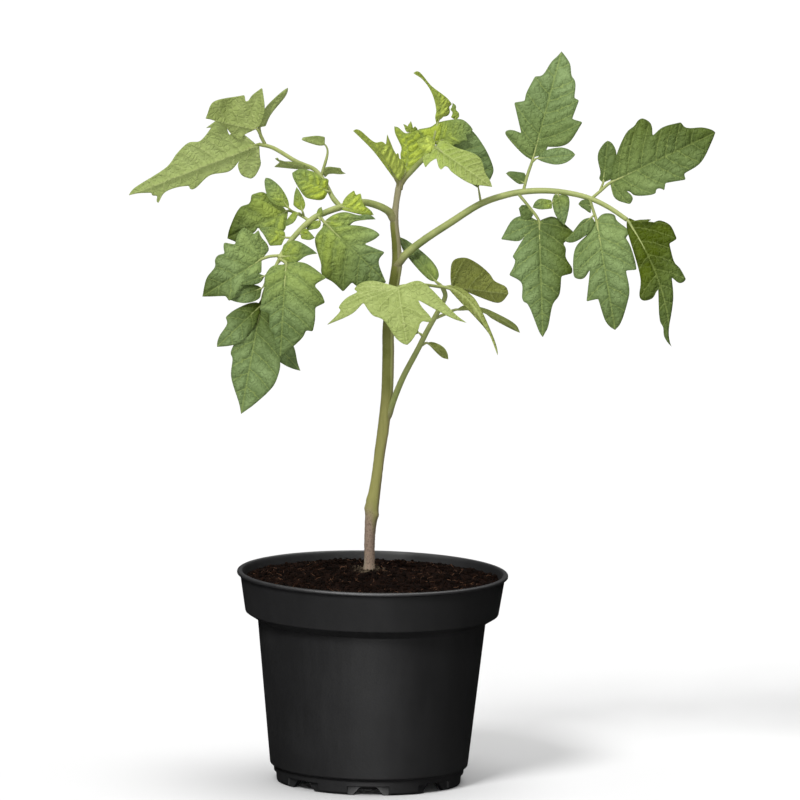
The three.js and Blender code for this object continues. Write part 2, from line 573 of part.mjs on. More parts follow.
// Triangles between the midrib and the rim of one side. Of all the ways along both, it takes the
// one with the shortest ribs across in which no triangle turns over.
function zipFaces(drawn, stations, rim) {
  const last = rim.length - 2;
  const loop = [...rim.map((index) => drawn[index]), ...drawn.slice(1, stations).reverse()];
  const turn = Math.sign(loop.reduce((sum, p, i) => sum + p.cross(loop[(i + 1) % loop.length]), 0));
  const ways = [];
  for (let i = 0; i <= stations; i += 1) {
    ways.push([]);
    for (let k = 1; k <= last; k += 1) {
      const rib = drawn[i].distanceTo(drawn[rim[k]]);
      const options = [];
      if (i === 0 && k === 1) {
        options.push({ cost: rib, faces: [] });
      }
      if (i > 0) {
        options.push({ from: ways[i - 1][k], face: [i - 1, rim[k], i] });
      }
      if (k > 1) {
        options.push({ from: ways[i][k - 1], face: [i, rim[k - 1], rim[k]] });
      }
      for (const option of options.filter(({ from }) => from)) {
        const area = turn * drawnArea(option.face.map((index) => drawn[index]));
        option.cost = option.from.cost + rib + (area < 0 ? TURNED_OVER : 0);
        option.faces = [...option.from.faces, option.face];
      }
      ways[i][k] = options.reduce((best, option) => (option.cost < best.cost ? option : best));
    }
  }
  const { faces } = ways[stations][last];
  return turn < 0 ? faces.map(([p, q, r]) => [p, r, q]) : faces;
}

// A leaflet's blade: one thin body whose two faces are split into triangles alike
function bladeSolid(leaflet) {
  const { foot, midrib, length, lift } = bladeSurface(leaflet);
  const stations = length < SMALL_LEAFLET ? MIDRIB_STATIONS / 2 : MIDRIB_STATIONS;
  const drawn = midrib.getPoints(stations);
  const front = [];
  const rims = [];
  for (const side of [leaflet.a, leaflet.b]) {
    const outline = outlineSide(foot, side, leaflet.tip);
    const rim = [0];
    for (let k = 1; k < outline.length - 1; k += 1) {
      rim.push(drawn.push(outline[k]) - 1);
    }
    rim.push(stations);
    front.push(...zipFaces(drawn, stations, rim));
    rims.push(rim);
  }
  const middle = drawn.map(lift);
  const normals = middle.map(() => new THREE.Vector3());
  for (const face of front) {
    const [p, q, r] = face.map((index) => middle[index]);
    const normal = q.clone().sub(p).cross(r.clone().sub(p));
    face.forEach((index) => normals[index].add(normal));
  }
  normals.forEach((normal) => normal.normalize());
  const count = middle.length;
  const points = [
    ...middle.map((p, i) => p.clone().addScaledVector(normals[i], BLADE_THICKNESS / 2)),
    ...middle.map((p, i) => p.clone().addScaledVector(normals[i], -BLADE_THICKNESS / 2)),
  ];
  const shell = [...front, ...front.map(([p, q, r]) => [p + count, r + count, q + count])];
  const edges = new Set(front.flatMap(([p, q, r]) => [`${p},${q}`, `${q},${r}`, `${r},${p}`]));
  for (const rim of rims) {
    for (let k = 0; k + 1 < rim.length; k += 1) {
      const [p, q] = edges.has(`${rim[k]},${rim[k + 1]}`) ? [rim[k], rim[k + 1]] : [rim[k + 1], rim[k]];
      shell.push([p, p + count, q + count], [p, q + count, q]);
    }
  }
  return solidFromMesh(points, shell);
}

function leafletSolids(leaflet) {
  const { midrib, lift } = bladeSurface(leaflet);
  const root = leaflet.radius ?? STALK_RADIUS;
  const path = leaflet.stalk.map(place);
  path.push(lift(midrib.getPoint(STALK_INTO_BLADE)));
  const radii = [root, root, ROOT_END];
  return [taperedTube(path, radii, STALK_SIDES, path.length), bladeSolid(leaflet)];
}

function leafSolid(leaf) {
  const steps = Math.round(1.5 * leaf.stalk.length);
  const solids = [taperedTube(leaf.stalk.map(place), leaf.radii, MAIN_STALK_SIDES, steps)];
  for (const branch of leaf.branches ?? []) {
    solids.push(taperedTube(branch.stalk.map(place), branch.radii, MAIN_STALK_SIDES - 1, BRANCH_STEPS));
  }
  for (const leaflet of leaf.leaflets) {
    solids.push(...leafletSolids(leaflet));
  }
  return solids.reduce((joined, solid) => joined.add(solid));
}

function stemSolid(extra) {
  const radii = STEM_RADII.map((radius) => radius + extra);
  return taperedTube(STEM_POINTS.map(place), radii, STEM_SIDES, STEM_STEPS);
}

// The pot's outline from the edge of its raised floor up the outside, over the lip and down inside
function potSolid() {
  const rim = RIM_DIAMETER / 2;
  const bandTop = rim - LIP_REACH;
  const bandFoot = bandTop - BAND_TAPER;
  const bodyTop = bandFoot - STEP_REACH;
  const bodyFoot = bodyTop - BODY_TAPER;
  const foot = bodyFoot - FOOT_INSET;
  const bandLow = POT_HEIGHT - BAND_HEIGHT;
  const floorTop = FLOOR_LIFT + FLOOR_THICKNESS;
  const profile = [
    [0, 0], [CENTRE_PAD_RADIUS, 0], [CENTRE_PAD_RADIUS + 1, FLOOR_LIFT], [foot - FOOT_WALL, FLOOR_LIFT],
    [foot - FOOT_WALL + 0.5, 0], [foot - 1, 0], [foot, 1.2], [foot + 0.6, FOOT_HEIGHT - 1],
    [bodyFoot, FOOT_HEIGHT + 0.4], [bodyTop, bandLow - STEP_DROP], [bandFoot, bandLow],
    [bandTop, POT_HEIGHT - LIP_HEIGHT], [rim, POT_HEIGHT - LIP_HEIGHT + 0.4], [rim, POT_HEIGHT - 0.5],
    [rim - 0.7, POT_HEIGHT], [bandTop - WALL + 0.6, POT_HEIGHT], [bandTop - WALL, POT_HEIGHT - 1.2],
    [bandFoot - WALL, bandLow + 1.6], [bodyTop - WALL, bandLow - STEP_DROP + 1],
    [bodyFoot - WALL, floorTop + INNER_ROUNDING], [bodyFoot - WALL - INNER_ROUNDING, floorTop],
    [CENTRE_PAD_RADIUS - 1, floorTop],
    [CENTRE_PAD_RADIUS - 2, FLOOR_THICKNESS], [0, FLOOR_THICKNESS],
  ];
  const outline = profile.map(([r, z]) => new THREE.Vector2(r, z));
  const lathe = new THREE.LatheGeometry(outline, POT_SIDES);
  lathe.rotateX(Math.PI / 2);
  let solid = toSolid(lathe);
  for (let i = 0; i < POCKET_COUNT; i += 1) {
    const turn = (2 * Math.PI * i) / POCKET_COUNT - Math.PI / 2;
    const pocket = new THREE.BoxGeometry(2 * POCKET_DEPTH, POCKET_WIDTH, 2 * POCKET_HEIGHT);
    pocket.translate(foot + 0.3, 0, 0);
    const gate = new THREE.Shape([
      new THREE.Vector2(-OPENING_FOOT / 2, -1), new THREE.Vector2(OPENING_FOOT / 2, -1),
      new THREE.Vector2(OPENING_FOOT / 2, 0), new THREE.Vector2(OPENING_TOP / 2, OPENING_HEIGHT),
      new THREE.Vector2(-OPENING_TOP / 2, OPENING_HEIGHT), new THREE.Vector2(-OPENING_FOOT / 2, 0),
    ]);
    const opening = new THREE.ExtrudeGeometry(gate, { depth: 3 * FOOT_WALL, bevelEnabled: false });
    opening.rotateX(Math.PI / 2);
    opening.rotateZ(Math.PI / 2);
    opening.translate(foot - 1.5 * FOOT_WALL, 0, 0);
    const drain = new THREE.CylinderGeometry(DRAIN_RADIUS, DRAIN_RADIUS, 4 * floorTop, DRAIN_SIDES);
    drain.rotateX(Math.PI / 2);
    drain.translate(DRAIN_RING, 0, 0);
    for (const cut of [pocket, opening, drain]) {
      cut.rotateZ(turn);
      solid = solid.subtract(toSolid(cut));
    }
  }
  return solid;
}

// The soil fills the pot with a small gap all round, and is heaped gently round the stem
function soilSolid() {
  const rim = RIM_DIAMETER / 2;
  const bodyTop = rim - LIP_REACH - BAND_TAPER - STEP_REACH;
  const inside = bodyTop - WALL - FIT_GAP;
  const bandInside = rim - LIP_REACH - BAND_TAPER - WALL - FIT_GAP;
  const bandLow = POT_HEIGHT - BAND_HEIGHT;
  const floorTop = FLOOR_LIFT + FLOOR_THICKNESS + FIT_GAP;
  const bandRise = (SOIL_LEVEL - bandLow - 1.6) / (BAND_HEIGHT - 2.8);
  const topRadius = bandInside + BAND_TAPER * bandRise;
  const profile = [
    [0, FLOOR_THICKNESS + FIT_GAP], [CENTRE_PAD_RADIUS - 2.4, FLOOR_THICKNESS + FIT_GAP],
    [CENTRE_PAD_RADIUS - 1.4, floorTop], [inside - BODY_TAPER - INNER_ROUNDING, floorTop],
    [inside - BODY_TAPER, floorTop + INNER_ROUNDING + FIT_GAP],
    [inside, bandLow - STEP_DROP + 1.2], [bandInside, bandLow + 2], [topRadius, SOIL_LEVEL],
  ];
  for (let i = SOIL_RINGS - 1; i >= 0; i -= 1) {
    profile.push([(topRadius * i) / SOIL_RINGS, SOIL_LEVEL]);
  }
  const lathe = new THREE.LatheGeometry(profile.map(([r, z]) => new THREE.Vector2(r, z)), SOIL_SIDES);
  lathe.rotateX(Math.PI / 2);
  const position = lathe.attributes.position;
  const stemFoot = place(STEM_POINTS[1]);
  for (let i = 0; i < position.count; i += 1) {
    const [x, y, z] = [position.getX(i), position.getY(i), position.getZ(i)];
    const inward = 1 - Math.hypot(x, y) / topRadius;
    if (z > SOIL_LEVEL - 0.01 && inward > 0.01) {
      const away = Math.hypot(x - stemFoot.x, y - stemFoot.y);
      const heap = SOIL_MOUND * Math.exp(-((away / MOUND_SPREAD) ** 2));
      const uneven = 0.8 * Math.sin(x * 0.21 + 1) * Math.cos(y * 0.17) * Math.min(1, 4 * inward);
      position.setZ(i, z + heap + uneven);
    }
  }
  return toSolid(lathe).subtract(stemSolid(FIT_GAP));
}

const finish = (color, roughness) => new THREE.MeshStandardMaterial({ color, roughness, metalness: 0 });
const POT_BLACK = finish(0x222224, 0.55);
const SOIL_BROWN = finish(0x2a1b12, 0.95);
const STEM_GREEN = finish(0x7d7f3c, 0.65);
const LEAF_GREEN = finish(0x74905a, 0.6);
const PALE_GREEN = finish(0x9fae6e, 0.6);
const YOUNG_GREEN = finish(0x9cbc4e, 0.6);

const plant = new THREE.Group();

function addPart(name, solid, material) {
  const mesh = new THREE.Mesh(toGeometry(mainBody(solid)), material);
  mesh.name = name;
  plant.add(mesh);
}

const stemRoom = stemSolid(FIT_GAP);
addPart("pot", potSolid(), POT_BLACK);
addPart("soil", soilSolid(), SOIL_BROWN);
addPart("stem", stemSolid(0), STEM_GREEN);
addPart("leaf_right", leafSolid(LEAF_RIGHT).subtract(stemRoom), LEAF_GREEN);
addPart("leaf_left", leafSolid(LEAF_LEFT).subtract(stemRoom), LEAF_GREEN);
addPart("leaf_lower", leafSolid(LEAF_LOWER).subtract(stemRoom), PALE_GREEN);
addPart("shoot_tip", leafSolid(SHOOT_TIP).subtract(stemRoom), YOUNG_GREEN);

export default plant;
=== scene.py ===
"""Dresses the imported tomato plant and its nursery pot.

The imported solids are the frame. Each is replaced by a finer piece of the same form: the pot is spun
from its outline and pierced, the soil is heaped and strewn with crumbs and fibres, the stem and the
leaf stalks are drawn as tapering curves with hairs, and each leaflet is a thin veined blade.
The plant's sizes are in millimetres, as it was drawn; meshes are in metres.
"""
from __future__ import annotations

import logging
import math
from contextlib import contextmanager
from dataclasses import dataclass
from enum import Enum
from typing import Any, Iterator, Sequence

import bpy
import numpy as np
from mathutils import Matrix, Vector, noise
from mathutils.geometry import delaunay_2d_cdt

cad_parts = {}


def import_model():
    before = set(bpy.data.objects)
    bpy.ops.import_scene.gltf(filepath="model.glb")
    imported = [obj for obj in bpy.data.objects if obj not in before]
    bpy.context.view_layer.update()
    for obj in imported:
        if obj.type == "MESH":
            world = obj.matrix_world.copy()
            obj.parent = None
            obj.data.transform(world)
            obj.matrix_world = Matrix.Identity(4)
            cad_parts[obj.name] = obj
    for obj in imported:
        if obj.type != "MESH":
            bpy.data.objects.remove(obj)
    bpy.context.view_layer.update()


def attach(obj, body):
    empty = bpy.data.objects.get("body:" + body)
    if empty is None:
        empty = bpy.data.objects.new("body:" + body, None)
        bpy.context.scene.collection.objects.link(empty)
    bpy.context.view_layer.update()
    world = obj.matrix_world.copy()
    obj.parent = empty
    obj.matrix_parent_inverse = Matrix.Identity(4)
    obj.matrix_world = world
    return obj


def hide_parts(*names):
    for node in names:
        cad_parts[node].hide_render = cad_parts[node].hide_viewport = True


LOG = logging.getLogger("tomato_plant")

MM = 0.001
# The photo's view comes from 8.7 degrees above: depth lowers a place by this share of itself.
BACK_SLOPE = 0.153
# Where the stem stands in the soil.
STEM_FOOT = (-1.8, 12.0)

Array = np.ndarray
Material = bpy.types.Material
Mesh = bpy.types.Mesh
Piece = bpy.types.Object
Socket = bpy.types.NodeSocket
Colour = tuple[float, float, float]
Point2 = tuple[float, float]
Point3 = tuple[float, float, float]
Point4 = tuple[float, float, float, float]


def srgb(red: int, green: int, blue: int) -> Colour:
    """Turns a colour in 0 to 255, as a screen shows it, into scene-linear values.

    Args:
        red: Red, 0 to 255.
        green: Green, 0 to 255.
        blue: Blue, 0 to 255.

    Returns:
        The linear colour.
    """
    linear = []
    for channel in (red, green, blue):
        value = channel / 255.0
        linear.append(value / 12.92 if value <= 0.04045 else ((value + 0.055) / 1.055) ** 2.4)
    return linear[0], linear[1], linear[2]


# Shading


class Value:
    """A number in a shader. Python's operators on it add Math nodes."""

    def __init__(self, graph: Graph, socket: Socket) -> None:
        """Wraps a socket of a graph.

        Args:
            graph: The graph that the socket is in.
            socket: An output socket that gives a number.
        """
        self.graph = graph
        self.socket = socket

    def math(self, operation: str, other: Operand) -> Value:
        """Adds a Math node, such as "ADD", with this value and another as its inputs."""
        return self.graph.value("ShaderNodeMath", {"operation": operation}, {0: self, 1: other})

    def __add__(self, other: Operand) -> Value:
        """Gives self + other."""
        return self.math("ADD", other)

    __radd__ = __add__

    def __sub__(self, other: Operand) -> Value:
        """Gives self - other."""
        return self.math("SUBTRACT", other)

    def __rsub__(self, other: float) -> Value:
        """Gives other - self."""
        return (self * -1.0) + other

    def __mul__(self, other: Operand) -> Value:
        """Gives self * other."""
        return self.math("MULTIPLY", other)

    __rmul__ = __mul__

    def step(self, low: float, high: float) -> Value:
        """Rises smoothly from 0 to 1 while this value goes from low to high.

        Args:
            low: Where it is still 0.
            high: Where it has become 1.

        Returns:
            The eased value; it falls where low is above high.
        """
        values = {"Value": self, "From Min": low, "From Max": high, "To Min": 0.0, "To Max": 1.0}
        return self.graph.value("ShaderNodeMapRange", {"interpolation_type": "SMOOTHSTEP"}, values)


Operand = Value | float
Input = Value | Socket | float | tuple


class Graph:
    """The node tree of one material, with its Principled shader."""

    def __init__(self, name: str, slots: dict[str, Any]) -> None:
        """Starts a material.

        Args:
            name: The material's name.
            slots: Constant values of the Principled shader's sockets.
        """
        self.material = bpy.data.materials.new(name)
        self.material.use_nodes = True
        self.tree = self.material.node_tree
        self.shader = self.tree.nodes["Principled BSDF"]
        for key, constant in slots.items():
            self.shader.inputs[key].default_value = constant

    def node(self, kind: str, settings: dict[str, Any] | None = None,
             values: dict[int | str, Input] | None = None) -> bpy.types.Node:
        """Adds a node, sets it and then links or fills its sockets.

        Args:
            kind: The node's type.
            settings: Its settings.
            values: What goes into its sockets, by name or number.

        Returns:
            The node.
        """
        node = self.tree.nodes.new(kind)
        for key, setting in (settings or {}).items():
            setattr(node, key, setting)
        for key, given in (values or {}).items():
            given = given.socket if isinstance(given, Value) else given
            if isinstance(given, Socket):
                self.tree.links.new(given, node.inputs[key])
            else:
                node.inputs[key].default_value = given
        return node

    def value(self, kind: str, settings: dict[str, Any] | None = None,
              values: dict[int | str, Input] | None = None, output: int | str = 0) -> Value:
        """Adds a node as node() does and gives one of its outputs as a number."""
        return Value(self, self.node(kind, settings, values).outputs[output])

    def attribute(self, name: str) -> Value:
        """Reads a number that is stored on the mesh's points."""
        return self.value("ShaderNodeAttribute", {"attribute_name": name}, output="Fac")

    def place(self) -> Socket:
        """Gives the shaded point's place in the object, in metres."""
        return self.node("ShaderNodeTexCoord").outputs["Object"]

    def drawn(self) -> Socket:
        """Gives the shaded point's place on its blade, from the blade's own map."""
        return self.node("ShaderNodeUVMap", {"uv_map": "blade"}).outputs["UV"]

    def part(self, vector: Socket, axis: int) -> Value:
        """Gives one of a vector's three numbers."""
        return self.value("ShaderNodeSeparateXYZ", None, {0: vector}, axis)

    def grain(self, where: Socket, scale: float, detail: float = 3.0,
              rough: float = 0.5) -> Value:
        """Adds soft noise.

        Args:
            where: The coordinates that it follows.
            scale: Its scale, per unit of the coordinates.
            detail: How many finer layers it has.
            rough: How strong the finer layers are.

        Returns:
            The noise, about 0.5 on average.
        """
        values = {"Vector": where, "Scale": scale, "Detail": detail, "Roughness": rough}
        return self.value("ShaderNodeTexNoise", None, values, "Fac")

    def cells(self, where: Socket, scale: float) -> Value:
        """Gives the distance to the edge of the nearest of many irregular cells."""
        values = {"Vector": where, "Scale": scale, "Randomness": 1.0}
        return self.value("ShaderNodeTexVoronoi", {"feature": "DISTANCE_TO_EDGE"}, values, "Distance")

    def mix(self, first: Colour | Socket, second: Colour | Socket,
            share: Operand) -> Socket:
        """Mixes two colours.

        Args:
            first: The colour where share is 0.
            second: The colour where share is 1.
            share: How much of the second colour is in the mix.

        Returns:
            The mixed colour.
        """
        full = [(*c, 1.0) if isinstance(c, tuple) else c for c in (first, second)]
        settings = {"data_type": "RGBA", "clamp_factor": True}
        node = self.node("ShaderNodeMix", settings, {0: share, 6: full[0], 7: full[1]})
        return node.outputs[2]

    def finish(self, colour: Socket, roughness: Value | None = None,
               height: Value | None = None, depth: float = 0.0001) -> Material:
        """Joins colour, roughness and relief to the shader.

        Args:
            colour: The base colour.
            roughness: The roughness, where it varies.
            height: A relief, 0 to 1.
            depth: How deep the relief is, in metres.

        Returns:
            The finished material.
        """
        self.tree.links.new(colour, self.shader.inputs["Base Color"])
        if roughness is not None:
            self.tree.links.new(roughness.socket, self.shader.inputs["Roughness"])
        if height is not None:
            bump = self.node("ShaderNodeBump", None, {"Strength": 1.0, "Distance": depth, "Height": height})
            self.tree.links.new(bump.outputs["Normal"], self.shader.inputs["Normal"])
        return self.material


@dataclass(frozen=True)
class PotPlastic:
    """Matte charcoal moulded plastic, a little dusty, with fine scuffs."""

    deep: Colour = srgb(21, 21, 22)
    worn: Colour = srgb(25, 25, 26)
    dust: Colour = srgb(60, 58, 55)
    roughness: float = 0.5
    specular: float = 1.0

    def material(self) -> Material:
        """Builds the material."""
        graph = Graph("pot_plastic", {"Specular IOR Level": self.specular})
        place = graph.place()
        clouds = graph.grain(place, 28.0, 4.0, 0.55)
        speckle = graph.grain(place, 900.0, 2.0, 0.6)
        streaks = graph.node("ShaderNodeMapping", None, {"Vector": place, "Scale": (60.0, 60.0, 6.0)})
        scuffs = graph.grain(streaks.outputs["Vector"], 4.0, 5.0, 0.7)
        colour = graph.mix(self.deep, self.worn, clouds.step(0.35, 0.75))
        colour = graph.mix(colour, self.worn, scuffs.step(0.6, 0.8) * 0.35)
        colour = graph.mix(colour, self.dust, speckle.step(0.7, 0.8) * 0.1)
        roughness = scuffs * 0.16 + clouds * 0.12 + (self.roughness - 0.12)
        return graph.finish(colour, roughness, speckle * 0.6 + clouds * 0.4, 0.00008)


@dataclass(frozen=True)
class PeatSoil:
    """Moist potting mix: near black, with brown and reddish grains."""

    dark: Colour = srgb(7, 5, 4)
    brown: Colour = srgb(28, 16, 10)
    red: Colour = srgb(82, 42, 24)
    crust: Colour = srgb(104, 93, 76)
    crust_core: float = 0.0045
    crust_reach: float = 0.0105
    roughness: float = 0.95

    def material(self) -> Material:
        """Builds the material."""
        graph = Graph("potting_soil", {"Specular IOR Level": 0.04, "Roughness": self.roughness})
        place = graph.place()
        lumps = graph.grain(place, 260.0, 5.0, 0.7)
        grains = graph.grain(place, 1500.0, 3.0, 0.65)
        shade = graph.attribute("shade")
        colour = graph.mix(self.dark, self.brown, lumps.step(0.4, 0.7) * 0.7 + shade * 0.4)
        colour = graph.mix(colour, self.red, grains.step(0.6, 0.75) * (shade * 0.5 + 0.25))
        across, deep = (graph.part(place, axis) - STEM_FOOT[axis] * MM for axis in (0, 1))
        foot = (across * across + deep * deep).step(self.crust_reach**2, self.crust_core**2)
        colour = graph.mix(colour, self.crust, foot * lumps.step(0.42, 0.6) * 0.7)
        return graph.finish(colour, None, grains * 0.5 + lumps * 0.5, 0.0006)


@dataclass(frozen=True)
class PeatFibre:
    """Dry fibres and slivers of bark in the soil."""

    dull: Colour = srgb(34, 20, 14)
    light: Colour = srgb(110, 74, 48)

    def material(self) -> Material:
        """Builds the material."""
        graph = Graph("soil_fibre", {"Roughness": 0.8, "Specular IOR Level": 0.3})
        shade = graph.attribute("shade")
        streak = graph.grain(graph.place(), 900.0, 2.0)
        return graph.finish(graph.mix(self.dull, self.light, shade * 0.75 + streak * 0.3), None, streak)


@dataclass(frozen=True)
class StemSkin:
    """The main stem: corky brown at the soil, olive above, purple along its right and at the top."""

    cork: Colour = srgb(136, 118, 103)
    cork_dark: Colour = srgb(76, 62, 52)
    olive: Colour = srgb(137, 135, 78)
    olive_dark: Colour = srgb(72, 80, 10)
    strip: Colour = srgb(147, 151, 94)
    purple: Colour = srgb(109, 91, 79)
    top: Colour = srgb(138, 132, 103)
    crust: Colour = srgb(158, 148, 130)

    def material(self) -> Material:
        """Builds the material."""
        graph = Graph("stem_skin", {"Specular IOR Level": 0.2})
        place = graph.place()
        height = graph.part(place, 2)
        long = graph.node("ShaderNodeMapping", None, {"Vector": place, "Scale": (900.0, 900.0, 60.0)})
        fibres = graph.grain(long.outputs["Vector"], 1.0, 4.0, 0.6)
        specks = graph.grain(place, 1400.0, 3.0, 0.7)
        clouds = graph.grain(place, 90.0, 3.0)
        green = graph.mix(self.olive, self.olive_dark, height.step(0.185, 0.215) * 0.8)
        green = graph.mix(green, self.olive, clouds.step(0.35, 0.65) * 0.3)
        green = graph.mix(green, self.olive_dark, fibres.step(0.5, 0.75) * 0.35)
        side = graph.attribute("right") * 0.8 + clouds * 0.3
        upper = graph.mix(green, self.strip, side.step(0.55, 0.75) * height.step(0.185, 0.215) * 0.75)
        upper = graph.mix(upper, self.purple, side.step(0.8, 1.0) * 0.45)
        flush = height.step(0.262, 0.27) * side.step(0.2, 0.45) + height.step(0.288, 0.296)
        upper = graph.mix(upper, self.top, flush * 0.85)
        cork = graph.mix(self.cork, self.cork_dark, specks.step(0.5, 0.68))
        low = height + clouds * 0.012 + graph.attribute("right") * 0.006
        colour = graph.mix(cork, upper, low.step(0.136, 0.152))
        colour = graph.mix(colour, self.crust, low.step(0.124, 0.117) * fibres.step(0.4, 0.6) * 0.6)
        roughness = specks * 0.2 + 0.5
        return graph.finish(colour, roughness, fibres * 0.6 + specks * 0.4, 0.00018)


@dataclass(frozen=True)
class StalkSkin:
    """Leaf stalks: yellow green, with purple at the joints and painted shade on their undersides."""

    light: Colour = srgb(140, 148, 87)
    deep: Colour = srgb(99, 113, 56)
    joint: Colour = srgb(114, 104, 73)

    def material(self) -> Material:
        """Builds the material."""
        graph = Graph("stalk_skin", {"Specular IOR Level": 0.35, "Roughness": 0.55})
        place = graph.place()
        clouds = graph.grain(place, 120.0, 3.0)
        fine = graph.grain(place, 1300.0, 3.0, 0.6)
        # Painted shade: the stalks are darker where they face down.
        depth = clouds.step(0.4, 0.7) * 0.5 + graph.attribute("under") * 0.5
        colour = graph.mix(self.light, self.deep, depth)
        colour = graph.mix(colour, self.joint, graph.attribute("joint") * 0.75)
        colour = graph.mix(colour, self.deep, fine.step(0.55, 0.75) * 0.25)
        return graph.finish(colour, None, fine)


@dataclass(frozen=True)
class PlantHair:
    """The short pale hairs on stems and stalks."""

    pale: Colour = srgb(178, 180, 140)
    dull: Colour = srgb(130, 128, 100)

    def material(self) -> Material:
        """Builds the material."""
        graph = Graph("plant_hair", {"Specular IOR Level": 0.3, "Roughness": 0.6})
        fine = graph.grain(graph.place(), 800.0)
        return graph.finish(graph.mix(self.pale, self.dull, fine.step(0.4, 0.7)))


@dataclass(frozen=True)
class BladeFinish:
    """One face of the leaf blades, coloured by its veins, its age and its olive tone, with painted shade in
    the creases between the veins and across one side of some blades.
    """

    name: str
    green: Colour
    shaded: Colour
    olive: Colour
    olive_deep: Colour
    young: Colour
    tender: Colour
    vein: Colour
    ribs: float
    net: float = 0.04
    gloss: float = 0.08

    def material(self) -> Material:
        """Builds the material."""
        graph = Graph(self.name, {"Specular IOR Level": self.gloss})
        place = graph.place()
        blade = graph.drawn()
        vein = graph.attribute("vein")
        rise = graph.attribute("rise")
        olive = graph.attribute("olive")
        young = graph.attribute("young")
        mottle = graph.grain(place, 110.0, 4.0, 0.6)
        fine = graph.grain(place, 1500.0, 3.0, 0.6)
        cell = graph.cells(blade, 42.0)
        broad = graph.grain(place, 34.0, 2.0)
        # Painted shade: the blade is darker in the creases between its veins, where the stored relief is low;
        # this also dims the young and olive colours there.
        painted_crease_shade = rise.step(0.75, 0.05)
        patches = mottle.step(0.4, 0.7) * 0.3 + broad.step(0.44, 0.64) * 0.4
        fresh = graph.mix(graph.mix(self.green, self.shaded, patches), self.shaded, painted_crease_shade * 0.55)
        warm = graph.mix(self.olive, self.olive_deep, mottle.step(0.35, 0.7) * 0.6 + painted_crease_shade * 0.4)
        new = graph.mix(self.young, self.shaded, painted_crease_shade * 0.55 + mottle.step(0.5, 0.75) * 0.15)
        colour = graph.mix(graph.mix(fresh, warm, olive), new, young)
        colour = graph.mix(colour, self.tender, young.step(1.0, 2.0) * (1.0 - painted_crease_shade * 0.6))
        colour = graph.mix(colour, self.vein, cell.step(0.06, 0.0) * self.net)
        colour = graph.mix(colour, self.vein, vein.step(0.6, 0.1) * (1.0 - olive * 0.4) * self.ribs)
        roughness = fine * 0.2 + mottle * 0.1 + 0.38
        relief = cell.step(0.0, 0.25) * 0.7 + fine * 0.3
        return graph.finish(colour, roughness, relief, 0.00045)


UPPER_FACE = BladeFinish(
    "blade_upper", green=srgb(113, 132, 85), shaded=srgb(76, 94, 51), olive=srgb(66, 80, 6),
    olive_deep=srgb(45, 57, 0), young=srgb(148, 163, 54), tender=srgb(180, 194, 92),
    vein=srgb(136, 150, 82), ribs=0.38,
)
UNDER_FACE = BladeFinish(
    "blade_under", green=srgb(155, 169, 106), shaded=srgb(133, 148, 83), olive=srgb(121, 128, 67),
    olive_deep=srgb(99, 106, 45), young=srgb(142, 160, 70), tender=srgb(170, 184, 92),
    vein=srgb(164, 174, 114), ribs=0.45,
)


# Curves and meshes


def centripetal(points: Array, per_span: int) -> Array:
    """Draws a smooth curve through points, which keeps tight bends free of loops.

    Args:
        points: The points, one a row.
        per_span: How many steps each span between two points gets.

    Returns:
        The curve's points, with the given points among them.
    """
    ends = np.vstack([2 * points[0] - points[1], points, 2 * points[-1] - points[-2]])
    steps = np.linspace(0.0, 1.0, per_span, endpoint=False)[:, None]
    spans = []
    for i in range(1, len(ends) - 2):
        before, start, end, after = ends[i - 1:i + 3]
        gaps = [math.sqrt(np.linalg.norm(q - p)) for p, q in ((before, start), (start, end), (end, after))]
        middle = gaps[1] or 1.0
        first, last = gaps[0] or middle, gaps[2] or middle
        run = (end - start) / middle
        lead = ((start - before) / first - (end - before) / (first + middle) + run) * middle
        trail = (run - (after - start) / (middle + last) + (after - end) / last) * middle
        square = -3 * start + 3 * end - 2 * lead - trail
        cube = 2 * start - 2 * end + lead + trail
        spans.append(start + lead * steps + square * steps**2 + cube * steps**3)
    return np.vstack([*spans, points[-1:]])


def even(points: Array, spacing: float) -> Array:
    """Spreads points evenly along a line.

    Args:
        points: The line's points.
        spacing: The wanted distance between points.

    Returns:
        The new points, with both ends kept.
    """
    run = np.concatenate([[0.0], np.cumsum(np.linalg.norm(np.diff(points, axis=0), axis=1))])
    count = max(2, int(round(run[-1] / spacing)) + 1)
    at = np.linspace(0.0, run[-1], count)
    return np.column_stack([np.interp(at, run, points[:, k]) for k in range(points.shape[1])])


def distance_to(line: Array, points: Array) -> Array:
    """Measures how far points are from a line of many short pieces.

    Args:
        line: The line's points.
        points: The points to measure from.

    Returns:
        The distance of each point.
    """
    start, step = line[:-1], np.diff(line, axis=0)
    reach = np.maximum((step**2).sum(axis=1), 1e-12)
    out = points[:, None, :] - start[None, :, :]
    share = np.clip((out * step).sum(axis=2) / reach, 0.0, 1.0)
    return np.linalg.norm(out - share[:, :, None] * step, axis=2).min(axis=1)


def placed(drawn: Array) -> Array:
    """Turns drawn points (across, drawn height, depth) into places in the object, in millimetres."""
    return np.column_stack([drawn[:, 0], drawn[:, 2], drawn[:, 1] - BACK_SLOPE * drawn[:, 2]])


def ease(values: Array, low: float, high: float) -> Array:
    """Rises smoothly from 0 to 1 while the values go from low to high."""
    share = np.clip((values - low) / (high - low), 0.0, 1.0)
    return share * share * (3 - 2 * share)


def bell(values: Array, width: float) -> Array:
    """Gives 1 where the values are 0, and falls to 0 on both sides."""
    return np.exp(-(values / width) ** 2)


def waver(points: Array, scale: float = 1.0, offset: Point3 = (0.0, 0.0, 0.0)) -> Array:
    """Gives smooth noise, from -1 to 1, at scaled and shifted points."""
    return np.array([noise.noise(Vector(p) * scale + Vector(offset)) for p in points])


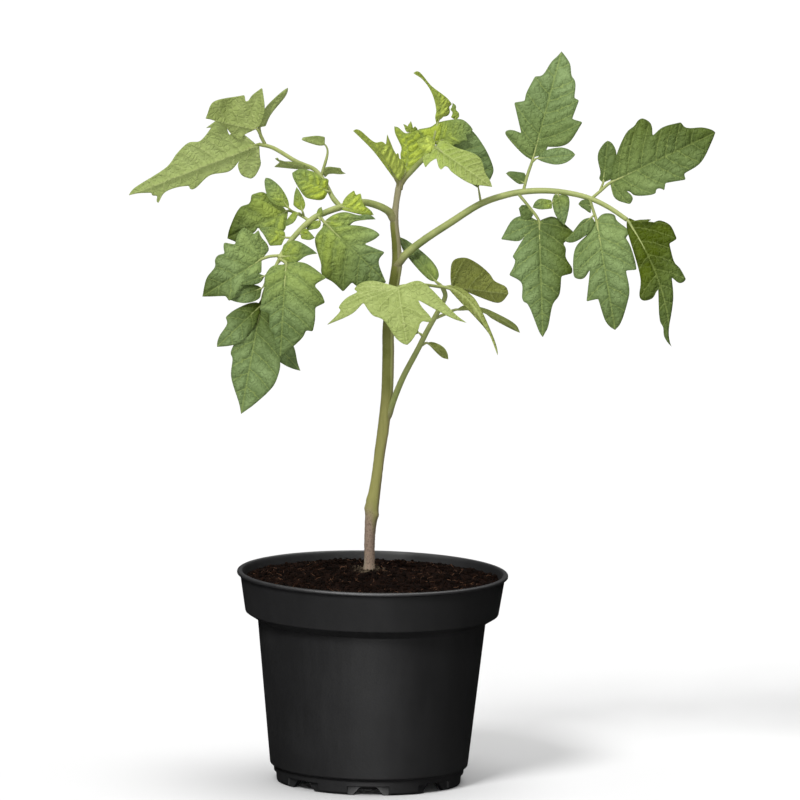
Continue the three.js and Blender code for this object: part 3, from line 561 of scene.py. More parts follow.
def clear_selection() -> None:
    """Leaves object mode clean, with nothing selected."""
    if bpy.context.mode != "OBJECT":
        bpy.ops.object.mode_set(mode="OBJECT")
    bpy.ops.object.select_all(action="DESELECT")


def pick(piece: Piece) -> None:
    """Selects one object alone and makes it the active one."""
    clear_selection()
    piece.select_set(True)
    bpy.context.view_layer.objects.active = piece


@contextmanager
def editing() -> Iterator[None]:
    """Holds the active object in edit mode, at first with all of it selected."""
    bpy.ops.object.mode_set(mode="EDIT")
    bpy.ops.mesh.select_all(action="SELECT")
    yield
    bpy.ops.object.mode_set(mode="OBJECT")


def mend(gap: float) -> None:
    """Merges the edited mesh's points that are less than a gap apart, and turns its faces outwards."""
    bpy.ops.mesh.select_all(action="SELECT")
    bpy.ops.mesh.remove_doubles(threshold=gap)
    bpy.ops.mesh.normals_make_consistent(inside=False)


def settled() -> Piece:
    """Takes the active object's place, turn and scale into its mesh, and gives the object."""
    bpy.ops.object.transform_apply(location=True, rotation=True, scale=True)
    return bpy.context.object


def cut_away(piece: Piece, cutters: Sequence[Piece]) -> None:
    """Cuts bodies out of a piece, which is left selected, and removes the bodies."""
    pick(piece)
    for cutter in cutters:
        cut = piece.modifiers.new(cutter.name, "BOOLEAN")
        cut.operation, cut.solver, cut.object = "DIFFERENCE", "EXACT", cutter
        bpy.ops.object.modifier_apply(modifier=cut.name)
        bpy.data.objects.remove(cutter)
    pick(piece)


def store(mesh: Mesh, name: str, values: Array) -> None:
    """Stores one number for each point of a mesh."""
    attribute = mesh.attributes.new(name, "FLOAT", "POINT")
    attribute.data.foreach_set("value", np.asarray(values, dtype=np.float32))


def points_of(mesh: Mesh) -> Array:
    """Reads a mesh's points, one a row."""
    flat = np.empty(len(mesh.vertices) * 3, dtype=np.float64)
    mesh.vertices.foreach_get("co", flat)
    return flat.reshape(-1, 3)


def move_points(mesh: Mesh, points: Array) -> None:
    """Puts a mesh's points at new places."""
    mesh.vertices.foreach_set("co", points.astype(np.float64).ravel())
    mesh.update()


def normals_of(mesh: Mesh) -> Array:
    """Reads the direction that each point of a mesh faces."""
    flat = np.empty(len(mesh.vertices) * 3, dtype=np.float32)
    mesh.vertex_normals.foreach_get("vector", flat)
    return flat.reshape(-1, 3).astype(np.float64)


def hand_over(piece: Piece, node: str,
              materials: Sequence[Material]) -> None:
    """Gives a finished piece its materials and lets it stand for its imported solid.

    Args:
        piece: The piece.
        node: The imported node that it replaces.
        materials: Its materials, in the order of its faces' indices.
    """
    for material in materials:
        piece.data.materials.append(material)
    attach(piece, "root")
    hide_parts(node)
    counts = len(piece.data.vertices), len(piece.data.polygons)
    LOG.info("%s: %d points, %d faces, for %s", piece.name, *counts, node)


def spun(name: str, outline: Sequence[Point2], steps: int) -> Piece:
    """Draws half an outline by extruding a point along it, and spins it round the upright axis.

    Args:
        name: The new object's name.
        outline: The outline's points (radius, height) in metres, its ends on the axis.
        steps: How many steps the spin has.

    Returns:
        The closed, smooth object.
    """
    clear_selection()
    bpy.ops.mesh.primitive_plane_add(size=MM, location=(0.0, 0.0, 0.0))
    piece = bpy.context.object
    piece.name = piece.data.name = name
    with editing():
        bpy.ops.mesh.merge(type="CENTER")
        start_radius, start_height = outline[0]
        bpy.ops.transform.translate(value=(start_radius, 0.0, start_height))
        for (radius, height), (next_radius, next_height) in zip(outline, outline[1:]):
            step = (next_radius - radius, 0.0, next_height - height)
            bpy.ops.mesh.extrude_region_move(TRANSFORM_OT_translate={"value": step})
        bpy.ops.mesh.select_all(action="SELECT")
        bpy.ops.mesh.spin(steps=steps, angle=2 * math.pi, center=(0.0, 0.0, 0.0), axis=(0.0, 0.0, 1.0))
        mend(0.01 * MM)
    return piece


def rounded(outline: Sequence[Point2], radii: Sequence[float], steps: int = 3) -> list[Point2]:
    """Rounds the corners of an open outline.

    Args:
        outline: The outline's points.
        radii: How far from each point its rounding starts.
        steps: How many steps each rounding has.

    Returns:
        The outline with each corner replaced by a short curve.
    """
    smooth: list[Point2] = [outline[0]]
    for before, corner, after, reach in zip(outline, outline[1:], outline[2:], radii[1:-1]):
        here = Vector(corner)
        if reach <= 0.0:
            smooth.append(corner)
            continue
        back, on = Vector(before) - here, Vector(after) - here
        start = here + back.normalized() * min(reach, back.length * 0.45)
        end = here + on.normalized() * min(reach, on.length * 0.45)
        for k in range(steps + 1):
            t = k / steps
            point = start * (1 - t) ** 2 + here * (2 * t * (1 - t)) + end * t**2
            smooth.append((point.x, point.y))
    smooth.append(outline[-1])
    return smooth


@dataclass
class Tube:
    """A tapering stalk along a line of points, in millimetres."""

    path: Array
    radii: Array


def tubes_mesh(name: str, tubes: Sequence[Tube], roundness: int) -> Piece:
    """Makes one mesh of many tapering round stalks, as bevelled curves with their ends filled.

    Args:
        name: The new object's name.
        tubes: The stalks.
        roundness: The curves' bevel resolution.

    Returns:
        The mesh object.
    """
    curve = bpy.data.curves.new(name, "CURVE")
    curve.dimensions = "3D"
    curve.bevel_depth = MM
    curve.bevel_resolution = roundness
    curve.use_fill_caps = True
    for tube in tubes:
        spline = curve.splines.new("POLY")
        spline.points.add(len(tube.path) - 1)
        spline.points.foreach_set("co", np.column_stack([tube.path * MM, np.ones(len(tube.path))]).ravel())
        spline.points.foreach_set("radius", tube.radii)
    drawn = bpy.data.objects.new(name, curve)
    bpy.context.collection.objects.link(drawn)
    pick(drawn)
    bpy.ops.object.convert(target="MESH")
    piece = bpy.context.object
    with editing():
        mend(0.001 * MM)
    bpy.ops.object.shade_smooth()
    piece.name = piece.data.name = name
    return piece


def mesh_object(name: str, points: Array, faces: Sequence[Sequence[int]]) -> Piece:
    """Makes a smooth object from points in metres and faces."""
    mesh = bpy.data.meshes.new(name)
    mesh.from_pydata(points.tolist(), [], faces)
    mesh.update()
    mesh.polygons.foreach_set("use_smooth", [True] * len(mesh.polygons))
    piece = bpy.data.objects.new(name, mesh)
    bpy.context.collection.objects.link(piece)
    return piece


# Leaflets


# The length of a full-grown leaflet, in millimetres: smaller ones have flatter quilting.
FULL_LENGTH = 45.0
# A turn of the outline that stays a corner, in degrees.
CORNER_TURN = 55.0
# How young a blade is that still has fine pleats.
PLEAT_AGE = 0.8
# How far to the tip a side vein runs, for each millimetre to the side.
VEIN_SLANT = 0.75
# The widths of the veins, as shares of the midrib's.
MIDRIB, SIDE_VEIN, BRANCHLET = 1.0, 0.55, 0.3
# Half a blade's thickness, in millimetres.
HALF_THICKNESS = 0.17
# The height of a row in a net of even triangles, for each width.
ROW_RISE = 0.866


class BladeSide(Enum):
    """The face of a blade that is turned to the front."""

    UPPER = 1.0
    UNDER = -1.0


@dataclass
class BladeMesh:
    """A finished blade: points in millimetres, faces with their side, and what its shader reads."""

    points: Array
    faces: list[tuple[int, ...]]
    sides: list[int]
    numbers: dict[str, Array]
    drawn: Array


@dataclass(frozen=True)
class Leaflet:
    """One leaflet, as it was drawn from the front in millimetres.

    A drawn point is (across, height[, depth]); the object's height is less by BACK_SLOPE of the depth.
    stalk runs from where it grows to the foot of the blade, mid is the middle of a bent midrib, and
    a and b are the outline's two sides from foot to tip. lean is the depth for each millimetre to
    the right and up; arch, curl, cup, fold and ripple bend the blade in depth.
    """

    name: str
    stalk: tuple[Point3, ...]
    tip: Point2
    a: tuple[Point2, ...]
    b: tuple[Point2, ...]
    lean: Point2
    mid: Point2 | None = None
    arch: float = 0.0
    curl: float = 0.0
    cup: float = 0.0
    fold: float = 0.0
    ripple: float = 0.0
    radius: float = 0.8
    shows: BladeSide = BladeSide.UPPER
    young: float = 0.0
    olive: float = 0.0
    # Painted shade: how much the olive share, and so the darkness, grows for each half length to the right
    # and upwards from the blade's middle.
    painted_shade_slope: Point2 = (0.0, 0.0)

    @property
    def foot(self) -> Array:
        """The drawn foot of the blade."""
        return np.array(self.stalk[-1][:2], dtype=float)

    @property
    def end(self) -> Array:
        """The drawn tip of the blade."""
        return np.array(self.tip, dtype=float)

    @property
    def length(self) -> float:
        """The length from foot to tip."""
        return float(np.linalg.norm(self.end - self.foot))

    @property
    def growth(self) -> float:
        """How large the leaflet is, up to 1 for a full-grown one."""
        return min(1.0, self.length / FULL_LENGTH)

    @property
    def pleated(self) -> bool:
        """Whether the blade still has fine pleats."""
        return self.young >= PLEAT_AGE

    @property
    def closeness(self) -> float:
        """The share of the usual spacing that its points have: less on small and pleated blades."""
        return 0.6 if self.length < 26.0 or self.pleated else 0.9

    @property
    def middle(self) -> Array:
        """The drawn middle of the midrib."""
        return np.array(self.mid, dtype=float) if self.mid else (self.foot + self.end) / 2

    def midrib(self, share: Array) -> Array:
        """Gives drawn points of the midrib.

        Args:
            share: Where they are, from 0 at the foot to 1 at the tip.

        Returns:
            The points.
        """
        t = np.asarray(share, dtype=float)[:, None]
        pull = 2 * self.middle - (self.foot + self.end) / 2
        return self.foot * (1 - t) ** 2 + pull * (2 * t * (1 - t)) + self.end * t**2

    def along_and_aside(self, drawn: Array) -> tuple[Array, Array]:
        """Tells where drawn points are along the midrib, 0 to 1, and how far they are to its side."""
        way = (self.end - self.foot) / self.length
        out = drawn - self.foot
        share = out @ way / self.length
        arm = self.middle - self.foot
        bend = arm[0] * way[1] - arm[1] * way[0]
        aside = out[:, 0] * way[1] - out[:, 1] * way[0] - 4 * bend * share * (1 - share)
        return share, aside

    def lift(self, drawn: Array) -> Array:
        """Bends the drawn blade in depth.

        Args:
            drawn: Drawn points.

        Returns:
            Their places in the object, in millimetres.
        """
        share, aside = self.along_and_aside(drawn)
        out = drawn - self.foot
        edge = np.minimum(1.0, np.abs(aside) / (0.3 * self.length))
        wave = self.ripple * edge**2 * np.sin(14.0 * share + np.where(aside > 0, 0.0, 2.0))
        bow = self.arch * 4 * share * (1 - share) + self.curl * share**2 + self.cup * edge**2
        depth = self.stalk[-1][2] + out @ np.array(self.lean) + bow + self.fold * np.abs(aside) + wave
        return placed(np.column_stack([drawn, depth]))

    def facing(self, drawn: Array) -> Array:
        """Gives the direction, towards the viewer, that the bent blade faces at drawn points."""
        reach = 0.15
        right, up = np.array([reach, 0.0]), np.array([0.0, reach])
        across = self.lift(drawn + right) - self.lift(drawn - right)
        rise = self.lift(drawn + up) - self.lift(drawn - up)
        out = np.cross(across, rise)
        return out / np.linalg.norm(out, axis=1)[:, None]

    def side_outline(self, drawn: Sequence[Point2]) -> Array:
        """Draws one side of the outline, smooth between its corners."""
        points = np.array([tuple(self.foot), *drawn, self.tip], dtype=float)
        steps = np.diff(points, axis=0)
        heading = np.degrees(np.arctan2(steps[:, 1], steps[:, 0]))
        turns = np.abs((np.diff(heading) + 180.0) % 360.0 - 180.0)
        corners = [0, *(np.flatnonzero(turns > CORNER_TURN) + 1).tolist(), len(points) - 1]
        parts = [centripetal(points[low:high + 1], 16)[:-1] for low, high in zip(corners, corners[1:])]
        return np.vstack([*parts, points[-1:]])

    def rim(self, spacing: float) -> Array:
        """Gives the closed outline from the foot round the tip, with its corners a little rounded.

        Args:
            spacing: The distance between its points.

        Returns:
            The points, without the first repeated at the end.
        """
        sides = [even(self.side_outline(drawn), spacing) for drawn in (self.a, self.b)]
        for side in sides:
            side[1:-1] = side[1:-1] * 0.5 + (side[:-2] + side[2:]) * 0.25
        return np.vstack([sides[0][:-1], sides[1][:0:-1]])

    def vein_ends(self, drawn: Sequence[Point2], side: float) -> list[tuple[float, Array]]:
        """Finds where the side veins of one side start on the midrib and where they end.

        Args:
            drawn: The side's drawn outline points.
            side: Its sign, 1 or -1.

        Returns:
            The start, 0 to 1, and the drawn end of each.
        """
        corners = np.array(drawn, dtype=float)
        course = np.vstack([self.foot, corners, self.end])
        place, off = self.along_and_aside(corners)
        off = np.abs(off)
        apart = min(6.0, 0.13 * self.length)
        veins: list[tuple[float, Array]] = []
        for k, corner in enumerate(corners):
            lead, trail = corner - course[k], course[k + 2] - corner
            turn = (lead[0] * trail[1] - lead[1] * trail[0]) * side
            sharp = turn > 0.35 * np.linalg.norm(lead) * np.linalg.norm(trail)
            alone = all(np.linalg.norm(end - corner) >= apart for _, end in veins)
            if sharp and alone and off[k] > 0.07 * self.length:
                veins.append((place[k] - VEIN_SLANT * off[k] / self.length, corner))
        outline = even(self.side_outline(drawn), 0.8)
        share, aside = self.along_and_aside(outline)
        aside = np.abs(aside)
        marks = sorted([0.0, *(min(max(start, 0.02), 0.9) for start, _ in veins), 0.92])
        widest = (4.0 if self.pleated else 11.0) / self.length
        for low, high in zip(marks, marks[1:]):
            extra = int((high - low) / widest)
            for k in range(extra):
                start = low + (high - low) * (k + 1) / (extra + 1)
                score = np.abs(share - VEIN_SLANT * aside / self.length - start)
                best = int(np.argmin(score))
                if score[best] < 0.08 and aside[best] > 1.5:
                    veins.append((start, outline[best]))
        return [(min(max(start, 0.02), 0.92), end) for start, end in veins]

    def veins(self) -> list[tuple[Array, float]]:
        """Draws the veins.

        Returns:
            Each vein's drawn points and its width.
        """
        steps = max(6, int(self.length / 0.9))
        lines = [(self.midrib(np.linspace(0.0, 0.985, steps)), MIDRIB)]
        way = (self.end - self.foot) / self.length
        first = np.array(self.a[len(self.a) // 2], dtype=float)
        _, aside = self.along_and_aside(first[None, :])
        turn = 1.0 if aside[0] > 0 else -1.0
        for drawn, side in ((self.a, turn), (self.b, -turn)):
            for start, end in self.vein_ends(drawn, side):
                root = self.midrib(np.array([start]))[0]
                reach = end - root
                pull = root + 0.5 * reach - way * 0.1 * np.linalg.norm(reach)
                t = np.linspace(0.0, 0.93, max(4, int(np.linalg.norm(reach) / 0.8)))[:, None]
                line = root * (1 - t) ** 2 + pull * (2 * t * (1 - t)) + end * t**2
                lines.append((line, SIDE_VEIN))
                if np.linalg.norm(reach) > 9.0:
                    lines += self.branchlets(line, way)
        return lines

    @staticmethod
    def branchlets(line: Array, way: Array) -> list[tuple[Array, float]]:
        """Draws the small veins that leave a side vein by turns to its two sides."""
        small = []
        for k, share in enumerate((0.34, 0.52, 0.7)):
            at = int(share * (len(line) - 1))
            root = line[at]
            run = line[-1] - root
            normal = np.array([-run[1], run[0]]) * (1 if k % 2 else -1)
            reach = run * 0.5 + normal * 0.42 + way * 0.4
            t = np.linspace(0.0, 1.0, 6)[:, None]
            small.append((root + reach * t * 0.75, BRANCHLET))
        return small

    def blade(self, spacing: float) -> BladeMesh:
        """Models the blade as one thin closed body with sunk veins and a quilted face.

        Args:
            spacing: The distance between its points, in millimetres.

        Returns:
            The blade.
        """
        rim = self.rim(spacing)
        veins = self.veins()
        lines = [even(line, spacing) for line, _ in veins]
        fixed = np.vstack([rim, *lines])
        edges = [(k, (k + 1) % len(rim)) for k in range(len(rim))]
        first = len(rim)
        for line in lines:
            edges += [(first + k, first + k + 1) for k in range(len(line) - 1)]
            first += len(line)
        corners = np.vstack([fixed, self.filling(fixed, rim, spacing)])
        net = delaunay_2d_cdt([Vector(p) for p in corners], edges, [], 1, 0.001)
        used = sorted({k for face in net[2] for k in face})
        renumber = {old: new for new, old in enumerate(used)}
        drawn = np.array([tuple(p) for p in net[0]])[used]
        return self.closed(drawn, [tuple(renumber[k] for k in face) for face in net[2]], veins, rim)

    @staticmethod
    def filling(fixed: Array, rim: Array, spacing: float) -> Array:
        """Gives an even net of points over the box round the rim.

        Args:
            fixed: The rim's and the veins' points, which the net keeps clear of.
            rim: The closed outline.
            spacing: The distance between points.

        Returns:
            The net's points.
        """
        low, high = rim.min(axis=0) - spacing, rim.max(axis=0) + spacing
        row = np.arange(low[0], high[0], spacing)
        grid = np.vstack([
            np.column_stack([row + (k % 2) * spacing / 2, np.full(len(row), height)])
            for k, height in enumerate(np.arange(low[1], high[1], spacing * ROW_RISE))
        ])
        nearest = np.full(len(grid), np.inf)
        for chunk in np.array_split(fixed, max(1, len(fixed) // 200)):
            gap = np.linalg.norm(grid[:, None, :] - chunk[None, :, :], axis=2).min(axis=1)
            nearest = np.minimum(nearest, gap)
        return grid[nearest > 0.55 * spacing]

    def closed(self, drawn: Array, front: list[tuple[int, ...]],
               veins: Sequence[tuple[Array, float]], rim: Array) -> BladeMesh:
        """Gives a flat net of triangles its relief, its thickness and its rim.

        Args:
            drawn: The drawn points.
            front: The triangles, as seen from the front.
            veins: The veins' lines and widths.
            rim: The closed outline.

        Returns:
            The blade.
        """
        reach = [distance_to(line, drawn) for line, _ in veins]
        plain = np.min([gap for gap, (_, width) in zip(reach, veins) if width > BRANCHLET], axis=0)
        edge = distance_to(np.vstack([rim, rim[:1]]), drawn)
        share, aside = self.along_and_aside(drawn)
        quilt = self.quilting(drawn, plain, np.min(reach, axis=0), edge)
        upper = self.shows is BladeSide.UPPER
        facing = self.facing(drawn)
        raised = quilt - 0.25 * bell(reach[0], 0.9)
        middle = self.lift(drawn) + facing * (self.shows.value * raised)[:, None]
        half = HALF_THICKNESS * (0.45 + 0.55 * ease(edge, 0.0, 1.0))
        taper = np.clip(1.15 - share, 0.0, 1.0)
        keel = 0.75 * taper * self.growth * bell(reach[0], 0.6) + 0.22 * bell(plain, 0.42)
        ribbed = half + keel * ease(edge, 0.0, 1.2)
        to_front, to_back = (half, ribbed) if upper else (ribbed, half)
        points = np.vstack([middle + facing * to_front[:, None], middle - facing * to_back[:, None]])
        faint = [0.0 if width > BRANCHLET else 0.28 for _, width in veins]
        scaled = np.min([gap / width + less for gap, (_, width), less in zip(reach, veins, faint)], axis=0)
        # The stored olive share is the blade's olive tone plus painted shade that grows across it; rise, the
        # quilting's height, sets the painted shade in its creases.
        painted_shade_offset = (drawn - self.middle) * 2.0 / self.length
        shared = {
            "vein": scaled + 0.3 * (1.0 - self.growth), "young": self.youth(share),
            "rise": quilt / (1.25 * (0.45 + 0.55 * self.growth)),
            "olive": np.clip(self.olive + painted_shade_offset @ np.array(self.painted_shade_slope), 0.0, 1.0),
        }
        numbers = {key: np.concatenate([values, values]) for key, values in shared.items()}
        own_corner = np.array([(len(self.name) * 0.37) % 1.0, self.tip[0] * 0.013])
        flat = np.column_stack([share * self.length, aside]) * 0.01 + own_corner
        return BladeMesh(points, *self.shell(front, len(drawn)), numbers, np.vstack([flat, flat]))

    def quilting(self, drawn: Array, plain: Array, small: Array,
                 edge: Array) -> Array:
        """Gives how high the blade stands between its veins, in millimetres.

        Args:
            drawn: The drawn points.
            plain: Their distances from the midrib and the side veins.
            small: Their distances from all veins.
            edge: Their distances from the rim.

        Returns:
            The height at each point.
        """
        place = drawn / np.array([3.4, 2.7])
        if self.pleated:
            share, aside = self.along_and_aside(drawn)
            place = np.column_stack([(share * self.length - 0.8 * np.abs(aside)) / 2.0, aside / 8.0])
        quilt = (1.0 - bell(plain, 2.2)) + (1.0 - bell(small, 1.2)) * 0.22
        quilt = (quilt + self.pucker(place) * 0.45) * (0.45 + 0.55 * self.growth) * ease(edge, 0.0, 2.2)
        fullness = (0.8 + 0.65 * min(1.0, self.young)) * (1.0 if self.shows is BladeSide.UPPER else 0.6)
        return quilt * fullness

    def shell(self, front: list[tuple[int, ...]],
              count: int) -> tuple[list[tuple[int, ...]], list[int]]:
        """Adds the back and the rim to the front's triangles.

        Args:
            front: The front's triangles.
            count: How many points the front has; the back has as many.

        Returns:
            All faces, and the index of each one's material.
        """
        shown = 0 if self.shows is BladeSide.UPPER else 1
        back = [tuple(k + count for k in reversed(face)) for face in front]
        edges = dict.fromkeys(pair for face in front for pair in zip(face, face[1:] + face[:1]))
        rim = [(q, p, p + count, q + count) for p, q in edges if (q, p) not in edges]
        return front + back + rim, [shown] * len(front) + [1 - shown] * len(back) + [0] * len(rim)

    def pucker(self, place: Array) -> Array:
        """Gives the small quilting between the veins at scaled places, 0 in its seams to 1."""
        level = len(self.name) * 1.7
        near = np.array([noise.voronoi(Vector((x, y, level)))[0][:2] for x, y in place])
        return ease(near[:, 1] - near[:, 0], 0.0, 0.5)

    def youth(self, share: Array) -> Array:
        """Gives how yellow and new the blade is along its length: most at the foot."""
        return self.young * (1.0 - ease(share, 0.05, 0.65 + 0.75 * self.young**3))

    def petiole(self) -> Tube:
        """Models the leaflet's own stalk, which runs on under the blade's midrib."""
        stalk = placed(np.array(self.stalk, dtype=float))
        under = self.midrib(np.array([0.08, 0.18, 0.3]))
        below = self.lift(under) - self.facing(under) * 0.3 * self.shows.value
        path = even(centripetal(np.vstack([stalk, below]), 12), 0.7)
        run = np.linspace(0.0, 1.0, len(path))
        stop = len(stalk) / (len(stalk) + 3)
        last = min(0.42, self.radius * 0.6)
        radii = self.radius + (last - self.radius) * ease(run, stop * 0.6, 0.85)
        return Tube(path, radii * (1.0 - 0.7 * ease(run, 0.85, 1.0)))


LEAF_RIGHT_LEAFLETS: tuple[Leaflet, ...] = (
    Leaflet(
        "upper_left", stalk=((73.5, 308.5, 1), (75.5, 317, 2), (78, 325, 5)), tip=(92, 382.5),
        a=((74.5, 327), (70.5, 330.5), (64, 338), (63.5, 339.5), (65, 340.5), (68, 340.5), (72, 339),
           (68, 355), (73.5, 356), (74, 359.5), (78.5, 369), (82, 369.5), (87, 377), (90, 380)),
        b=((80.5, 329), (81, 331), (83, 332), (92, 332.5), (96.5, 334.5), (103.5, 345.5), (98, 347),
           (101.5, 357), (99, 358), (99.5, 365), (99, 367.5), (97.5, 369.5), (96.5, 376), (94, 380)),
        lean=(0.1, 0.42), arch=-3, curl=5, fold=-0.12, ripple=1.2, young=0.1, painted_shade_slope=(0.2, -0.25),
    ),
    Leaflet(
        "upper_left_lobe", stalk=((78, 324, 4.6), (80, 326, 4.5)), tip=(100, 328.5),
        a=((84, 330), (92, 332), (95.5, 331.5), (98.5, 330)),
        b=((83, 324.5), (90, 323), (95, 324), (98.5, 326.5)),
        lean=(-0.1, 0.5), arch=-1.5, radius=0.5,
    ),
    Leaflet(
        "upper_left_small", stalk=((74.5, 312, 1.5), (74.5, 313, 1)), tip=(64.5, 318),
        a=((71.5, 312.5), (66.5, 316)), b=((75, 316), (74, 318.5), (66, 319)),
        lean=(0.2, 0.4), radius=0.5, olive=0.3,
    ),
    Leaflet(
        "upper_right", stalk=((108.5, 305.5, -8), (113, 309.5, -8), (118, 314, -7)), tip=(172, 341.5),
        a=((119, 319.5), (122, 331.5), (126.5, 341), (130, 344), (132, 347), (134, 348), (138, 346),
           (139, 344), (139.5, 339), (144.5, 343.5), (154, 346.5), (156, 344), (158.5, 343.5),
           (165.5, 344), (171, 342.5)),
        b=((118.5, 312), (120, 307), (122, 305), (128.5, 303), (130, 306), (129, 308), (126.5, 310),
           (128.5, 309.5), (130, 308), (133, 307.5), (140.5, 308.5), (142, 309.5), (141.5, 310.5),
           (142.5, 311.5), (144.5, 311.5), (146, 310.5), (146.5, 314.5), (157, 316.5), (156, 319.5),
           (164.5, 325.5), (170.5, 337.5)),
        lean=(0.12, 0.4), arch=-4, curl=6, fold=-0.1, ripple=1.2, young=0.1, olive=0.5, painted_shade_slope=(0, 0.5),
    ),
    Leaflet(
        "upper_right_lobe", stalk=((113, 310, -7), (114.5, 314, -6.4)), tip=(116.5, 336),
        a=((112.5, 316), (113, 319), (111.5, 326.5), (112, 330.5), (115, 335)),
        b=((119.5, 317), (121, 330), (118.5, 335)),
        lean=(0, 0.36), arch=1, radius=0.6, olive=0.5,
    ),
    Leaflet(
        "lower_left", stalk=((71, 307.5, 1), (76.5, 301, -1), (82, 293.5, -3)), tip=(85, 233),
        a=((79.5, 294.5), (76.5, 296), (71, 295.5), (68, 293.5), (62.5, 283.5), (72.5, 283), (75, 286),
           (68.5, 274.5), (70, 273), (69.5, 270), (67, 265), (73.5, 261), (74, 253), (75, 251),
           (76.5, 250.5), (83.5, 235)),
        b=((84, 294.5), (88.5, 296), (91.5, 295), (100, 288), (98.5, 285.5), (94.5, 282), (96, 279.5),
           (96, 275), (99.5, 269), (99.5, 266.5), (94, 265), (93, 255), (90, 250.5), (87.5, 238),
           (86, 235)),
        lean=(0.05, 0.36), arch=-5, curl=-3, fold=-0.12, ripple=1.3, olive=0.3, painted_shade_slope=(1.1, 0.1),
    ),
    Leaflet(
        "lower_left_lobe", stalk=((77, 300.5, -1.2), (77.8, 299.5, -1.6)), tip=(71.5, 300),
        a=((76, 301.3), (73, 301.8)), b=((79, 296.5), (77, 294.3), (73, 294.3), (72, 297.6)),
        lean=(0.1, 0.4), radius=0.5, olive=0.4,
    ),
    Leaflet(
        "lower_right", stalk=((107.5, 306, -8), (109.5, 300, -10), (111.5, 294, -12)), tip=(122, 237.5),
        a=((109, 293.5), (108, 288.5), (101.5, 281), (100, 276.5), (100, 266.5), (100.5, 264.5),
           (103, 263.5), (105.5, 264), (108.5, 268.5), (107, 252), (113, 253.5), (117, 242), (119.5, 239)),
        b=((113, 296.5), (115.5, 298), (119, 298), (121, 297), (121.5, 295), (128, 289.5), (128.5, 288),
           (126.5, 285.5), (128.5, 282.5), (131.5, 274), (132.5, 269), (127, 268.5), (129, 258),
           (128, 251.5), (124.5, 240.5)),
        lean=(0.05, 0.3),
        arch=-5, curl=-3, fold=-0.1, ripple=1.3, young=0.1, olive=0.05, painted_shade_slope=(-0.1, -0.35),
    ),
    Leaflet(
        "lower_right_bud_lobe", stalk=((109.2, 302.3, -9.3), (108.5, 302, -9.8)), tip=(102, 302.7),
        a=((107.5, 304.8), (104.5, 305), (103, 304.2)),
        b=((108.5, 298), (107, 298.6), (105.5, 299.8), (103.5, 301)),
        lean=(0.1, 0.4), radius=0.5, olive=0.4,
    ),
    Leaflet(
        "lower_right_narrow", stalk=((110.5, 297.5, -11), (109, 296, -12.5)), tip=(95, 283.5),
        a=((104.5, 294.5), (98.5, 287)),
        b=((110.5, 293.5), (108.5, 288.5), (104.7, 285.3), (100, 282.7), (97, 282.5)),
        lean=(0.25, 0.5), radius=0.5, olive=0.3,
    ),
    Leaflet(
        "end", stalk=((118, 301, -11), (127, 295, -14)), tip=(151, 229.5), mid=(143.5, 264),
        a=((127, 291), (134.5, 264), (134, 256), (134.5, 254), (136, 253), (141, 254.5), (143.5, 261),
           (145, 242), (146.5, 239.5), (147, 235), (149, 231.5)),
        b=((128, 296), (135.5, 293), (139, 293), (143.5, 295), (146, 294.5), (149.5, 292.5), (153, 285.5),
           (149, 283), (152, 273), (154.5, 270.5), (158, 264.5), (156.5, 263), (154.5, 262.5),
           (150.5, 265.5), (151.5, 255), (149.5, 237), (150, 232.5)),
        lean=(0.35, 0.5), arch=-7, curl=-4, fold=0.15, ripple=1.4, olive=0.85, painted_shade_slope=(-0.6, 0.3),
    ),
    Leaflet(
        "hanging_oval", stalk=((91.5, 309, -4), (91.7, 307, -5)), tip=(95, 291.5),
        a=((89.5, 307.5), (88.5, 304.5), (89, 300.5), (91, 295.5)),
        b=((94.5, 307.5), (97, 306.5), (97.5, 303), (96, 294)),
        lean=(0.1, 0.3), radius=0.5, young=0.3,
    ),
    Leaflet(
        "small_bright", stalk=((91, 309, -3.5), (88.5, 303, -6.5)), tip=(78.5, 300.5),
        a=((88, 304.5), (82, 305), (79.5, 303)), b=((88.5, 300), (82, 299.5)),
        lean=(0.1, 0.5), radius=0.5, young=0.7,
    ),
    Leaflet(
        "inner_small", stalk=((52, 302, 5), (50.5, 310, 7)), tip=(48, 319),
        a=((45.5, 313),), b=((52, 314.5),), lean=(0, 0.3), radius=0.6, olive=0.6,
    ),
)

